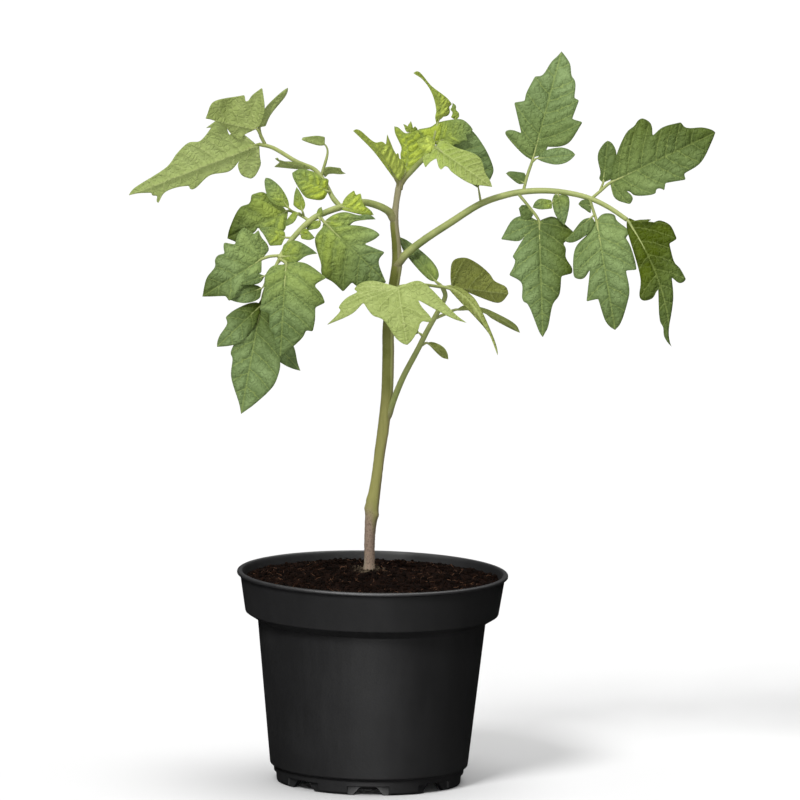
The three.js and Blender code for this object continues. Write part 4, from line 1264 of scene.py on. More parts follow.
LEAF_LEFT_LEAFLETS: tuple[Leaflet, ...] = (
    Leaflet(
        "inner_large", stalk=((-31, 294, -19), (-28, 290, -22)), tip=(4, 260),
        a=((-24, 288), (-18, 289), (-10.5, 289), (-3, 287), (0.5, 284.5), (-2.5, 282), (-7.5, 279.5),
           (3, 275.5), (0, 271), (3, 262)),
        b=((-29.5, 287.5), (-33, 282), (-29.5, 268), (-29.5, 264.5), (-28, 262), (-23.5, 259.5),
           (-18, 254.5), (-13.5, 259.5), (-11, 257.5), (-8, 257), (-3, 257), (1, 258)),
        lean=(0.05, 0.2), arch=-3, fold=-0.1, ripple=1.3, young=0.5, olive=0.1, painted_shade_slope=(-0.3, -0.6),
    ),
    Leaflet(
        "inner_narrow", stalk=((-30, 293, -18), (-28.5, 290.8, -19.5)), tip=(-2, 292.6),
        a=((-26, 293), (-22.5, 295), (-18, 296), (-10.5, 294.5), (-6.5, 295), (-3.5, 294)),
        b=((-29.5, 288), (-22.5, 286.5), (-16.6, 287.5), (-13.5, 290.8), (-7, 292.2)),
        lean=(0.15, 0.4), arch=-2, radius=0.6, young=0.7,
    ),
    Leaflet(
        "inner_crinkled", stalk=((-21, 298.5, -10), (-19.5, 298.6, -12)), tip=(-3, 294.8),
        a=((-19, 301.5), (-17, 304.5), (-13.5, 307.5), (-12.5, 305), (-10, 306), (-8.5, 300.5),
           (-4.5, 297)),
        b=((-19.5, 297), (-7, 294.5)),
        lean=(0.1, 0.45), arch=-1.5, ripple=0.7, radius=0.6, young=1.4,
    ),
    Leaflet(
        "front_large", stalk=((-51, 271, -40), (-47.5, 268.5, -43)), tip=(-49.5, 220),
        a=((-46, 269), (-38, 269), (-26.5, 261.5), (-32, 258), (-32.5, 257), (-29, 253), (-27, 248.5),
           (-32, 246), (-32, 239.5), (-33, 233.5), (-36.5, 234), (-38, 230.5), (-47.5, 221.5)),
        b=((-49, 268), (-54.5, 267), (-58, 262), (-58.5, 255), (-60.5, 244), (-55.5, 242.5), (-55, 234),
           (-53.5, 232.5), (-51.5, 224.5)),
        lean=(0, 0.28), arch=-4, fold=-0.12, ripple=1.3, young=0.3, painted_shade_slope=(0.5, -0.2),
    ),
    Leaflet(
        "end", stalk=((-51, 271, -40), (-56, 260, -41), (-59, 252, -41)), tip=(-69, 190),
        a=((-62, 246), (-75, 221.5), (-74, 219), (-74.5, 209.5), (-70, 195)),
        b=((-55, 247), (-49.5, 218), (-49.5, 214), (-52, 206), (-55, 202), (-63, 194.5)),
        lean=(-0.05, 0.2), arch=-3, curl=-2, fold=-0.1, ripple=1.2, olive=0.15, painted_shade_slope=(0.2, 0.6),
    ),
    Leaflet(
        "end_left_lobe", stalk=((-58, 255, -41), (-59.5, 247, -44)), tip=(-82, 224.5),
        a=((-62, 248), (-66, 247.5), (-74, 243.5), (-78, 240), (-77, 237), (-81, 230), (-82, 226.5)),
        b=((-61, 241), (-62.5, 236.5), (-69, 228), (-72.5, 226), (-77, 225)),
        lean=(0.1, 0.2), arch=-2, ripple=0.9, radius=0.6, olive=0.25, painted_shade_slope=(0.6, 0.6),
    ),
    Leaflet(
        "end_right_lobe", stalk=((-62, 234, -46.5), (-54, 229, -44.5)), tip=(-39, 213),
        a=((-47, 228.5), (-43, 226), (-40.5, 217)), b=((-52, 219.5), (-47.5, 216), (-43, 214)),
        lean=(0.1, 0.2),
    ),
    Leaflet(
        "left", stalk=((-51, 272.5, -39), (-56, 272, -38), (-60, 270.5, -38)), tip=(-90, 250.5),
        a=((-58, 273), (-56.5, 275.5), (-57.5, 278.5), (-60.5, 282), (-62, 285.8), (-64.2, 283.4),
           (-69.3, 287), (-71.5, 285), (-73, 282), (-73.8, 277.8), (-79.5, 278.8), (-79.7, 276),
           (-79, 273), (-82.5, 272), (-84, 269.5), (-83.7, 266.4), (-88, 260)),
        b=((-60, 267.5), (-60, 263.5), (-64, 261), (-69, 256), (-73, 251), (-76.3, 248.3), (-78, 251),
           (-87, 250.5)),
        lean=(0.12, 0.35),
        arch=-3, curl=-2, fold=-0.12, ripple=1.3, young=0.2, olive=0.15, painted_shade_slope=(-0.5, -0.4),
    ),
    Leaflet(
        "left_under_one", stalk=((-50, 270.5, -39), (-54, 266, -42.5), (-58, 262, -46)), tip=(-72, 256.5),
        a=((-64, 263),), b=((-61, 258),), lean=(0.05, 0.4), radius=0.6, olive=0.3,
    ),
    Leaflet(
        "left_under_two", stalk=((-52, 268, -39.6), (-57, 260.5, -42), (-59.5, 255.5, -46)),
        tip=(-76.5, 249.3),
        a=((-62.5, 257), (-67, 257), (-71, 256), (-73.5, 252.5)),
        b=((-60, 253), (-60.5, 250.5), (-63.5, 248.5), (-68, 247.5), (-72.5, 248)),
        lean=(0.05, 0.35), radius=0.6, olive=0.2, painted_shade_slope=(0.4, 0.6),
    ),
    Leaflet(
        "back_left", stalk=((-36, 291, -23), (-41, 294, -21), (-47, 296, -20)), tip=(-78, 281),
        a=((-52, 298.5), (-59, 305), (-61, 305.5), (-66, 304), (-67, 299.5), (-71.5, 297.5), (-77, 286)),
        b=((-47.5, 292), (-48.5, 286), (-51, 284.5), (-54, 285.5), (-55.5, 287.8), (-57, 286),
           (-61.5, 286), (-62.2, 287.2), (-64, 284.5), (-71.5, 281), (-73, 279)),
        lean=(0.05, 0.3), arch=-3, curl=-2, fold=-0.1, ripple=1.2, young=0.65, olive=0.3, painted_shade_slope=(-0.7, 0),
    ),
    Leaflet(
        "back_left_oval", stalk=((-43, 294.5, -21), (-46.5, 297, -25)), tip=(-59, 313),
        a=((-49.5, 298), (-52.5, 298.5), (-56, 300.5), (-58, 303.5), (-59.5, 311)),
        b=((-47, 301), (-51, 308), (-56.5, 312.5)),
        lean=(0.05, 0.35), arch=-1, radius=0.6, young=0.8,
    ),
    Leaflet(
        "upright_small", stalk=((-39, 293.5, -22), (-39.7, 296, -24)), tip=(-43, 308.5),
        a=((-42, 297), (-44.5, 299), (-44, 305)), b=((-38.5, 298), (-38.5, 300.5), (-41.5, 306.5)),
        lean=(0, 0.3), radius=0.6, young=1,
    ),
    Leaflet(
        "bright_lobe", stalk=((-40, 293.8, -21.6), (-41.8, 295, -24)), tip=(-48, 288),
        a=((-44.5, 295.5), (-48, 290.5)), b=((-42.5, 292.5), (-44, 290), (-46.5, 288.5)),
        lean=(0, 0.4), radius=0.6, young=1,
    ),
    Leaflet(
        "bright_back", stalk=((-44, 282, -31.6), (-48, 282, -31)), tip=(-61.5, 286),
        a=((-48.5, 285), (-53, 287), (-56.5, 287.5), (-59.5, 287)),
        b=((-49, 280.5), (-50, 278), (-56, 277.5), (-59.5, 283.5)),
        lean=(0, 0.3), radius=0.6, young=0.9,
    ),
    Leaflet(
        "stalk_bud", stalk=((-31, 292.4, -19.5), (-31, 293, -21)), tip=(-30, 298.5),
        a=((-32.5, 295.5), (-31.5, 297.5)), b=((-29.5, 295), (-29.5, 297)),
        lean=(0, 0.3), radius=0.6, young=1,
    ),
    Leaflet(
        "front_small_one", stalk=((-32, 293.5, -20.5), (-30.5, 291.5, -23)), tip=(-37, 286),
        a=((-33.5, 291), (-35.5, 290), (-37.5, 287.5)), b=((-30, 290), (-31, 287.5), (-34.5, 286.5)),
        lean=(0, 0.4), radius=0.6, young=1,
    ),
    Leaflet(
        "front_small_two", stalk=((-40.5, 285.5, -28), (-40.5, 284, -30)), tip=(-33, 282.3),
        a=((-39.5, 286.5), (-37.5, 287), (-35.5, 285)), b=((-40, 281.5), (-35.5, 281)),
        lean=(0, 0.4), radius=0.6, young=1,
    ),
    Leaflet(
        "middle", stalk=((-49, 274.5, -37), (-50, 272, -40)), tip=(-31.5, 274),
        a=((-49.5, 275), (-49, 278), (-46, 280), (-42.5, 280.5), (-35.5, 277)),
        b=((-49.5, 269.5), (-46, 268.5), (-42.5, 269), (-37.5, 272.5), (-34.5, 273.5)),
        lean=(0.05, 0.4), arch=-1.5, young=0.7,
    ),
    Leaflet(
        "branch_foot_bright", stalk=((-26, 306.5, -4.6), (-26.5, 306.5, -8)), tip=(-45.5, 316),
        a=((-27, 308.5), (-26.5, 312.5), (-28, 313.5), (-30, 313), (-31.5, 315), (-34, 316.5),
           (-41.5, 318)),
        b=((-27.5, 305), (-28.5, 303), (-30.5, 302), (-36, 302.5), (-38.5, 303.5), (-45, 313.5)),
        lean=(0.05, 0.35), arch=-2, ripple=0.7, radius=0.7, young=1,
    ),
    Leaflet(
        "branch_edge_left", stalk=((-34, 318.3, 11), (-35.5, 318.5, 12)), tip=(-54.5, 323.5),
        a=((-38, 320), (-46, 322), (-52, 322.5), (-53, 324)),
        b=((-39, 318), (-55, 319), (-52, 321.5), (-53.5, 322.5)),
        lean=(-0.1, -1.2), radius=0.6, shows=BladeSide.UNDER, olive=0.3,
    ),
    Leaflet(
        "branch_edge_right", stalk=((-31, 315, 5.2), (-30, 316, 5)), tip=(-18, 316.5),
        a=((-28.5, 319), (-27, 319.5), (-20.5, 319), (-20, 317.5)),
        b=((-28.5, 314), (-26.5, 316.5), (-20.5, 316)),
        lean=(0.1, -1.2), radius=0.6, shows=BladeSide.UNDER, olive=0.2,
    ),
    Leaflet(
        "branch_triangle", stalk=((-30.5, 314.5, 4), (-27.5, 328, 5), (-29, 331, 5)), tip=(-41, 333.5),
        a=((-29, 333), (-29, 335), (-33, 335.5), (-40.5, 334.5)), b=((-31.5, 330.5), (-39, 332.5)),
        lean=(0.1, -0.7), shows=BladeSide.UNDER,
    ),
    Leaflet(
        "branch_narrow", stalk=((-60, 331, 41.5), (-62.5, 336, 41), (-63, 340, 41)), tip=(-49, 361),
        a=((-62.5, 343.5), (-61.5, 347.5), (-59.5, 351), (-50.5, 360)),
        b=((-60, 340.5), (-57.5, 346.5), (-50, 356.5), (-49, 359)),
        lean=(1.3, -0.4), radius=0.9, shows=BladeSide.UNDER,
    ),
    Leaflet(
        "branch_upper", stalk=((-60, 331, 41.5), (-62.5, 336, 40), (-64.5, 339, 39)), tip=(-91, 344),
        a=((-67.5, 337.5), (-70.5, 336), (-72, 333.5), (-75, 333.5), (-81.5, 340.5), (-88, 343.5)),
        b=((-63, 340.5), (-61, 345), (-60.5, 350), (-62, 360.5), (-67.5, 356), (-69, 353.5), (-70.5, 353),
           (-71, 356.5), (-86.5, 353), (-88.5, 351), (-90, 346.5)),
        lean=(-0.2, -0.45), arch=3, fold=0.1, ripple=1.2, shows=BladeSide.UNDER, olive=0.2,
    ),
    Leaflet(
        "branch_end", stalk=((-57, 329.7, 38), (-63, 331, 43)), tip=(-130.5, 303.5),
        a=((-67.5, 331), (-71, 334), (-77, 336.5), (-79, 335.5), (-81, 341.5), (-85, 343.5), (-91, 339),
           (-88, 339.5), (-92, 334), (-94.5, 332), (-99.5, 331.5), (-105.5, 326), (-110.5, 319),
           (-128.5, 306.5)),
        b=((-62.5, 324), (-62, 321), (-63, 318), (-65, 314.5), (-67, 313), (-72, 315), (-74, 320.5),
           (-73, 322.5), (-78, 317), (-88.5, 314.5), (-95.5, 308), (-97.5, 307), (-99, 307.5), (-99, 309),
           (-105.5, 308), (-112, 305), (-115, 299.5), (-116, 300.5), (-115.5, 303.5), (-118.5, 303.5),
           (-118.5, 305), (-126.5, 304.5)),
        lean=(-0.3, -0.45), arch=4, curl=3, fold=0.1, ripple=1.3, shows=BladeSide.UNDER,
    ),
)

LEAF_LOWER_LEAFLETS: tuple[Leaflet, ...] = (
    Leaflet(
        "end", stalk=((33, 258, -20), (21.5, 259, -30), (10, 257.5, -37)), tip=(15.5, 227.5),
        a=((6.5, 258.5), (-3.5, 260.5), (-9.5, 259), (-12.5, 256), (-10.5, 254.5), (-16.5, 251),
           (-20, 246.5), (-20, 245.5), (-19, 245.5), (-19.5, 244), (-26, 237), (-15, 242), (-12, 244),
           (-7.5, 249), (-2.5, 242.5), (2.5, 240.5), (10, 230.5), (13.5, 228)),
        b=((12.5, 258.5), (20, 261), (24, 259.5), (41, 243), (46, 239.5), (39, 241.5), (20.5, 251),
           (22.5, 247.5), (27, 242.5), (28, 240), (25.5, 239.5), (23.5, 240), (22, 239), (21, 235.5),
           (17.5, 229.5)),
        lean=(0, 0.35), arch=-2, curl=-2, cup=-2, fold=0.08, shows=BladeSide.UNDER, olive=0.3,
    ),
    Leaflet(
        "ear", stalk=((33, 257.5, -19.6), (37, 258.5, -20)), tip=(67, 255.5),
        a=((37.5, 260), (37, 266.5), (37.5, 270.5), (39, 272.5), (44.5, 273.5), (51, 270.5), (57.5, 265),
           (59.5, 262), (65.5, 259), (66.5, 257.5)),
        b=((41, 257.5), (61, 250.5), (63.5, 251), (65.5, 253)),
        lean=(0.3, -0.5), arch=2, cup=2, shows=BladeSide.UNDER, olive=1,
    ),
    # Its high olive share is partly painted shade on this blade.
    Leaflet(
        "folded", stalk=((32, 258.5, -20.4), (36, 257.5, -23)), tip=(62, 223), mid=(50.5, 246),
        a=((40, 259), (48.5, 253.5), (51.5, 249.5), (61, 228.5)), b=((38, 255), (57.5, 234), (60, 228.5)),
        lean=(-0.1, 0.6), arch=-4, fold=0.8, shows=BladeSide.UNDER, olive=0.8,
    ),
    Leaflet(
        "behind", stalk=((33, 257.5, -19.6), (32, 259, -10), (29.5, 261, -3)), tip=(10.5, 284),
        a=((31, 263.5), (30.5, 267), (28, 271), (24, 275), (14, 282.5)),
        b=((26.5, 261.5), (13, 276), (11, 280.5)),
        lean=(-0.5, 0.75), arch=1, radius=0.9, young=0.35, olive=0.2,
    ),
    Leaflet(
        "narrow", stalk=((29, 241.5, -10.6), (34.5, 244, -10), (40, 246.5, -9)), tip=(73.5, 235.5),
        mid=(57.5, 245),
        a=((45, 249), (55, 247.5), (59, 246), (69, 241), (72, 238.5)),
        b=((45, 246.5), (55, 245), (58.5, 242.5), (71.5, 236)),
        lean=(0.2, -1.2), arch=1, shows=BladeSide.UNDER, olive=0.7,
    ),
    Leaflet(
        "small", stalk=((21.5, 226.5, -4.4), (25.5, 229, -4)), tip=(36.7, 220.5),
        a=((28, 229.5), (32.5, 228), (35, 226), (36.5, 223)), b=((26.5, 228), (33.5, 221.5)),
        lean=(0.2, 0.5), radius=0.7, shows=BladeSide.UNDER, olive=0.9,
    ),
    Leaflet(
        "stalk_bud", stalk=((24, 232, -7), (21.5, 234, -8.5)), tip=(18.5, 236),
        a=((20.5, 236.5),), b=((19.5, 233),), lean=(0, 0.3), olive=0.8,
    ),
)

SHOOT_TIP_LEAFLETS: tuple[Leaflet, ...] = (
    Leaflet(
        "left_young", stalk=((9.6, 307.5, 9.9), (9.3, 309.5, 9.5), (9.2, 311.5, 9)), tip=(-14.5, 338),
        mid=(-2, 328.5),
        a=((7, 314), (-3.5, 327.5), (-10, 334)),
        b=((11, 314.5), (12.5, 319), (12, 323.5), (9.5, 324.5), (9, 327), (8.5, 327.5), (8, 326.5),
           (7, 328), (3, 337), (2.5, 331.5), (0.5, 333), (-3, 332.5), (-11, 338.5), (-13, 339)),
        lean=(0.3, -0.7), fold=0.1, radius=1, young=1.8,
    ),
    Leaflet(
        "right_young", stalk=((10.6, 308.5, 9.8), (11, 311, 9)), tip=(6.5, 341.5), mid=(13.5, 331),
        a=((10.5, 315), (11, 319.5), (10, 327), (10.5, 330), (7, 338)),
        b=((13, 314), (19.5, 322.5), (21.5, 324), (24, 333), (23.5, 338.5), (20.5, 340), (12.5, 338),
           (8.5, 341)),
        lean=(-0.3, 0.3), fold=-0.1, ripple=0.6, radius=0.9, young=1.4,
    ),
    Leaflet(
        "upper_young", stalk=((26, 328.5, 1), (27, 335, 2), (28.5, 342, 3)), tip=(16, 369), mid=(28.5, 357),
        a=((27.5, 346.5), (28, 349.5), (26.5, 356.5), (23.5, 362.5), (20, 366.5), (17.5, 368)),
        b=((30, 345), (30.5, 346.5), (34, 347.5), (35, 349.5), (34.5, 352), (36, 353.5), (33.5, 356.5),
           (25.5, 362.5), (19, 369.5), (17.5, 370)),
        lean=(1, 0.2), arch=-1, ripple=0.6, young=1.6,
    ),
    Leaflet(
        "front_young", stalk=((26, 328.5, 1), (28, 330.5, -1)), tip=(57.5, 310.5),
        a=((24, 329.5), (22, 326.5), (21.5, 324), (23, 320), (25.5, 323), (28.5, 325), (30, 320),
           (31, 319), (33, 321), (34.5, 320.5), (36, 318.5), (46.5, 312), (54, 311)),
        b=((30, 334), (33.5, 334), (37, 331.5), (50.5, 326), (54, 317.5), (56.5, 313.5)),
        lean=(-0.1, 0.3),
        arch=-3, curl=-3, fold=-0.1, ripple=1, shows=BladeSide.UNDER, young=0.8, olive=0.4,
    ),
    Leaflet(
        "top_young", stalk=((26, 328.5, 1), (27, 333, 2)), tip=(47, 340.5),
        a=((22.5, 334), (19.5, 337.5), (19, 340), (25.5, 341.5), (28.5, 343.5), (37, 345.5), (41.5, 345.5),
           (45, 343)),
        b=((31, 330.5), (36, 331), (38.5, 333), (40, 332.5), (42, 334.5), (44.5, 334.5), (43.5, 337.5),
           (46, 338.5)),
        lean=(0.05, 0.35), arch=-1, ripple=0.9, young=0.9,
    ),
    Leaflet(
        "back_young", stalk=((27, 330, 0.6), (31, 332, 7)), tip=(56.5, 314.5),
        a=((38, 341), (43, 341.5), (46.5, 340), (54, 330), (58, 320.5), (58, 318.5)),
        b=((37, 326), (46, 319)),
        lean=(0.1, 0.25), arch=-2, ripple=0.8, young=0.1,
    ),
    Leaflet(
        "bud", stalk=((13.4, 331, 17), (14.8, 337.6, 17)), tip=(15, 344.5),
        a=((13.5, 339.5), (13.5, 342), (14.5, 343.5)), b=((16.5, 339.5), (15.5, 343.5)),
        lean=(0.2, 0.2), fold=0.4, radius=0.5, young=1.5,
    ),
    Leaflet(
        "heart", stalk=((27.2, 329.5, 0), (28, 331.5, -0.6)), tip=(18, 333.5),
        a=((27, 335), (24, 337), (21.5, 335.6)), b=((25.5, 328), (22.5, 327.6), (20.4, 329.6)),
        lean=(0.1, 0.2), ripple=0.6, radius=0.4, young=1.7,
    ),
    Leaflet(
        "upper_chain", stalk=((37.2, 341.5, 6.5), (38.2, 345.2, 7)), tip=(36.4, 354.2),
        a=((35.6, 346.5), (36.4, 349), (35.2, 350.6), (36.2, 352.4)),
        b=((39.7, 346.8), (39.5, 349.2), (38.2, 350.4), (38.1, 352.6)),
        lean=(0.4, 0.2), ripple=0.5, radius=0.5, young=1,
    ),
    Leaflet(
        "bud_left", stalk=((13.2, 332, 17), (13.8, 338.2, 16.5)), tip=(11.2, 342.7),
        a=((12.5, 339.2), (11.9, 341)), b=((14.3, 340.2), (12.6, 342.2)),
        lean=(0.2, 0.2), radius=0.4, young=1.4,
    ),
    Leaflet(
        "bud_right", stalk=((15, 332, 17), (15.6, 338.2, 16.5)), tip=(18.6, 340.4),
        a=((15.8, 340), (17.2, 341.8)), b=((17, 337.8), (18.6, 338.8)),
        lean=(0.2, 0.2), radius=0.4, young=1.2,
    ),
)


# The pot and its soil


@dataclass(frozen=True)
class NurseryPot:
    """A tapering moulded pot with a stepped rim, and pockets and drain openings round its foot."""

    rim: float = 70.0
    height: float = 109.0
    wall: float = 1.5
    lip_reach: float = 1.6
    band_low: float = 88.0
    band_taper: float = 3.0
    step_drop: float = 4.0
    step_reach: float = 6.5
    body_taper: float = 7.8
    foot_inset: float = 2.5
    foot_wall: float = 4.4
    foot_height: float = 8.5
    floor_lift: float = 4.8
    floor_thickness: float = 1.6
    pad: float = 29.0
    pocket: Point3 = (22.0, 4.0, 10.0)
    gate_top: float = 4.0
    gate_height: float = 4.6
    gate_depth: float = 7.1
    drain: float = 4.0
    drain_circle: float = 38.0
    pockets: int = 8
    steps: int = 192

    @property
    def band_top(self) -> float:
        """The radius of the band under the lip."""
        return self.rim - self.lip_reach

    @property
    def body_top(self) -> float:
        """The radius of the wall under the step."""
        return self.band_top - self.band_taper - self.step_reach

    @property
    def body_foot(self) -> float:
        """The radius of the wall where it ends over the foot."""
        return self.body_top - self.body_taper

    @property
    def foot(self) -> float:
        """The radius of the foot."""
        return self.body_foot - self.foot_inset

    def outline(self) -> list[Point2]:
        """Draws the half section, from the middle of the underside out, up, over and in again.

        Returns:
            The outline in metres, with its edges rounded.
        """
        band_foot = self.band_top - self.band_taper
        floor_top = self.floor_lift + self.floor_thickness
        foot, wall, top = self.foot, self.wall, self.height
        drawn = [
            (0.0, 0.0, 0.0), (self.pad, 0.0, 0.6), (self.pad + 1.0, self.floor_lift, 0.6),
            (foot - self.foot_wall, self.floor_lift, 0.5), (foot - self.foot_wall + 0.5, 0.0, 0.4),
            (foot - 1.0, 0.0, 0.5), (foot, 1.2, 0.5), (foot + 0.6, self.foot_height - 1.0, 0.6),
            (self.body_foot, self.foot_height + 0.4, 0.5),
            (self.body_top, self.band_low - self.step_drop, 0.7), (band_foot, self.band_low, 0.45),
            (self.band_top, top - 2.0, 0.5), (self.rim, top - 1.6, 0.3), (self.rim, top - 0.5, 0.45),
            (self.rim - 0.7, top, 0.5), (self.band_top - wall + 0.6, top, 0.4),
            (self.band_top - wall, top - 1.2, 0.8), (band_foot - wall, self.band_low + 1.6, 1.2),
            (self.body_top - wall, self.band_low - self.step_drop + 1.0, 1.2),
            (self.body_foot - wall, floor_top + 3.0, 1.8), (self.body_foot - wall - 3.0, floor_top, 1.6),
            (self.pad - 1.0, floor_top, 0.5), (self.pad - 2.0, self.floor_thickness, 0.5),
            (0.0, self.floor_thickness, 0.0),
        ]
        smooth = rounded([(r, z) for r, z, _ in drawn], [reach for _, _, reach in drawn])
        return [(r * MM, z * MM) for r, z in smooth]

    def ring(self, name: str, cutter: Piece) -> Piece:
        """Repeats a cutter round the pot, once for each pocket, and joins the copies.

        Args:
            name: The name of the joined cutter.
            cutter: The cutter that stands at the front, its place in its mesh.

        Returns:
            The joined cutter.
        """
        copies = []
        for k in range(self.pockets):
            copy = bpy.data.objects.new(f"{name}_{k}", cutter.data.copy())
            copy.data.transform(Matrix.Rotation(2 * math.pi * k / self.pockets, 4, "Z"))
            bpy.context.collection.objects.link(copy)
            copies.append(copy)
        bpy.data.objects.remove(cutter)
        pick(copies[0])
        for copy in copies:
            copy.select_set(True)
        bpy.ops.object.join()
        copies[0].name = name
        return copies[0]

    def pocket_cutter(self) -> Piece:
        """Makes the rounded block that sinks one shallow recess into the foot."""
        clear_selection()
        middle = (0.0, -(self.foot + 0.3) * MM, 0.0)
        bpy.ops.mesh.primitive_cube_add(size=MM, location=middle)
        with editing():
            bpy.ops.transform.resize(value=self.pocket, center_override=middle)
            bpy.ops.mesh.bevel(offset=0.6 * MM, segments=3, affect="EDGES")
        return settled()

    def opening_cutter(self) -> Piece:
        """Makes the rounded wedge that cuts one drain gate through the foot's wall."""
        clear_selection()
        depth, top = self.gate_depth, self.gate_top
        low = top + depth * top / self.gate_height
        middle = (0.0, -(self.foot - self.foot_wall / 2) * MM, (self.gate_height - depth / 2) * MM)
        to_corner = math.sqrt(2) * MM
        bpy.ops.mesh.primitive_cone_add(
            vertices=4, radius1=low * to_corner, radius2=top * to_corner, depth=depth * MM,
            location=middle, rotation=(0.0, 0.0, math.pi / 4),
        )
        piece = settled()
        with editing():
            bpy.ops.transform.resize(value=(1.0, 1.6, 1.0), center_override=middle)
            bpy.ops.mesh.bevel(offset=0.9 * MM, segments=4, affect="EDGES")
        return piece

    def drain_cutter(self) -> Piece:
        """Makes the cylinder that cuts one drain hole through the floor."""
        clear_selection()
        bpy.ops.mesh.primitive_cylinder_add(
            vertices=40, radius=self.drain * MM, depth=26 * MM, location=(0.0, -self.drain_circle * MM, 0.0),
        )
        return settled()

    def build(self) -> None:
        """Models the pot, pierces it and lets it stand for its solid."""
        piece = spun("nursery_pot", self.outline(), self.steps)
        cut_away(piece, [
            self.ring("pockets", self.pocket_cutter()), self.ring("openings", self.opening_cutter()),
            self.ring("drains", self.drain_cutter()),
        ])
        bpy.ops.object.shade_smooth_by_angle(angle=math.radians(32.0))
        hand_over(piece, "pot", [PotPlastic().material()])


@dataclass(frozen=True)
class Grains:
    """One kind of crumb: how finely it is modelled, how many there are, and their least and largest size."""

    detail: int
    count: int
    sizes: Point2


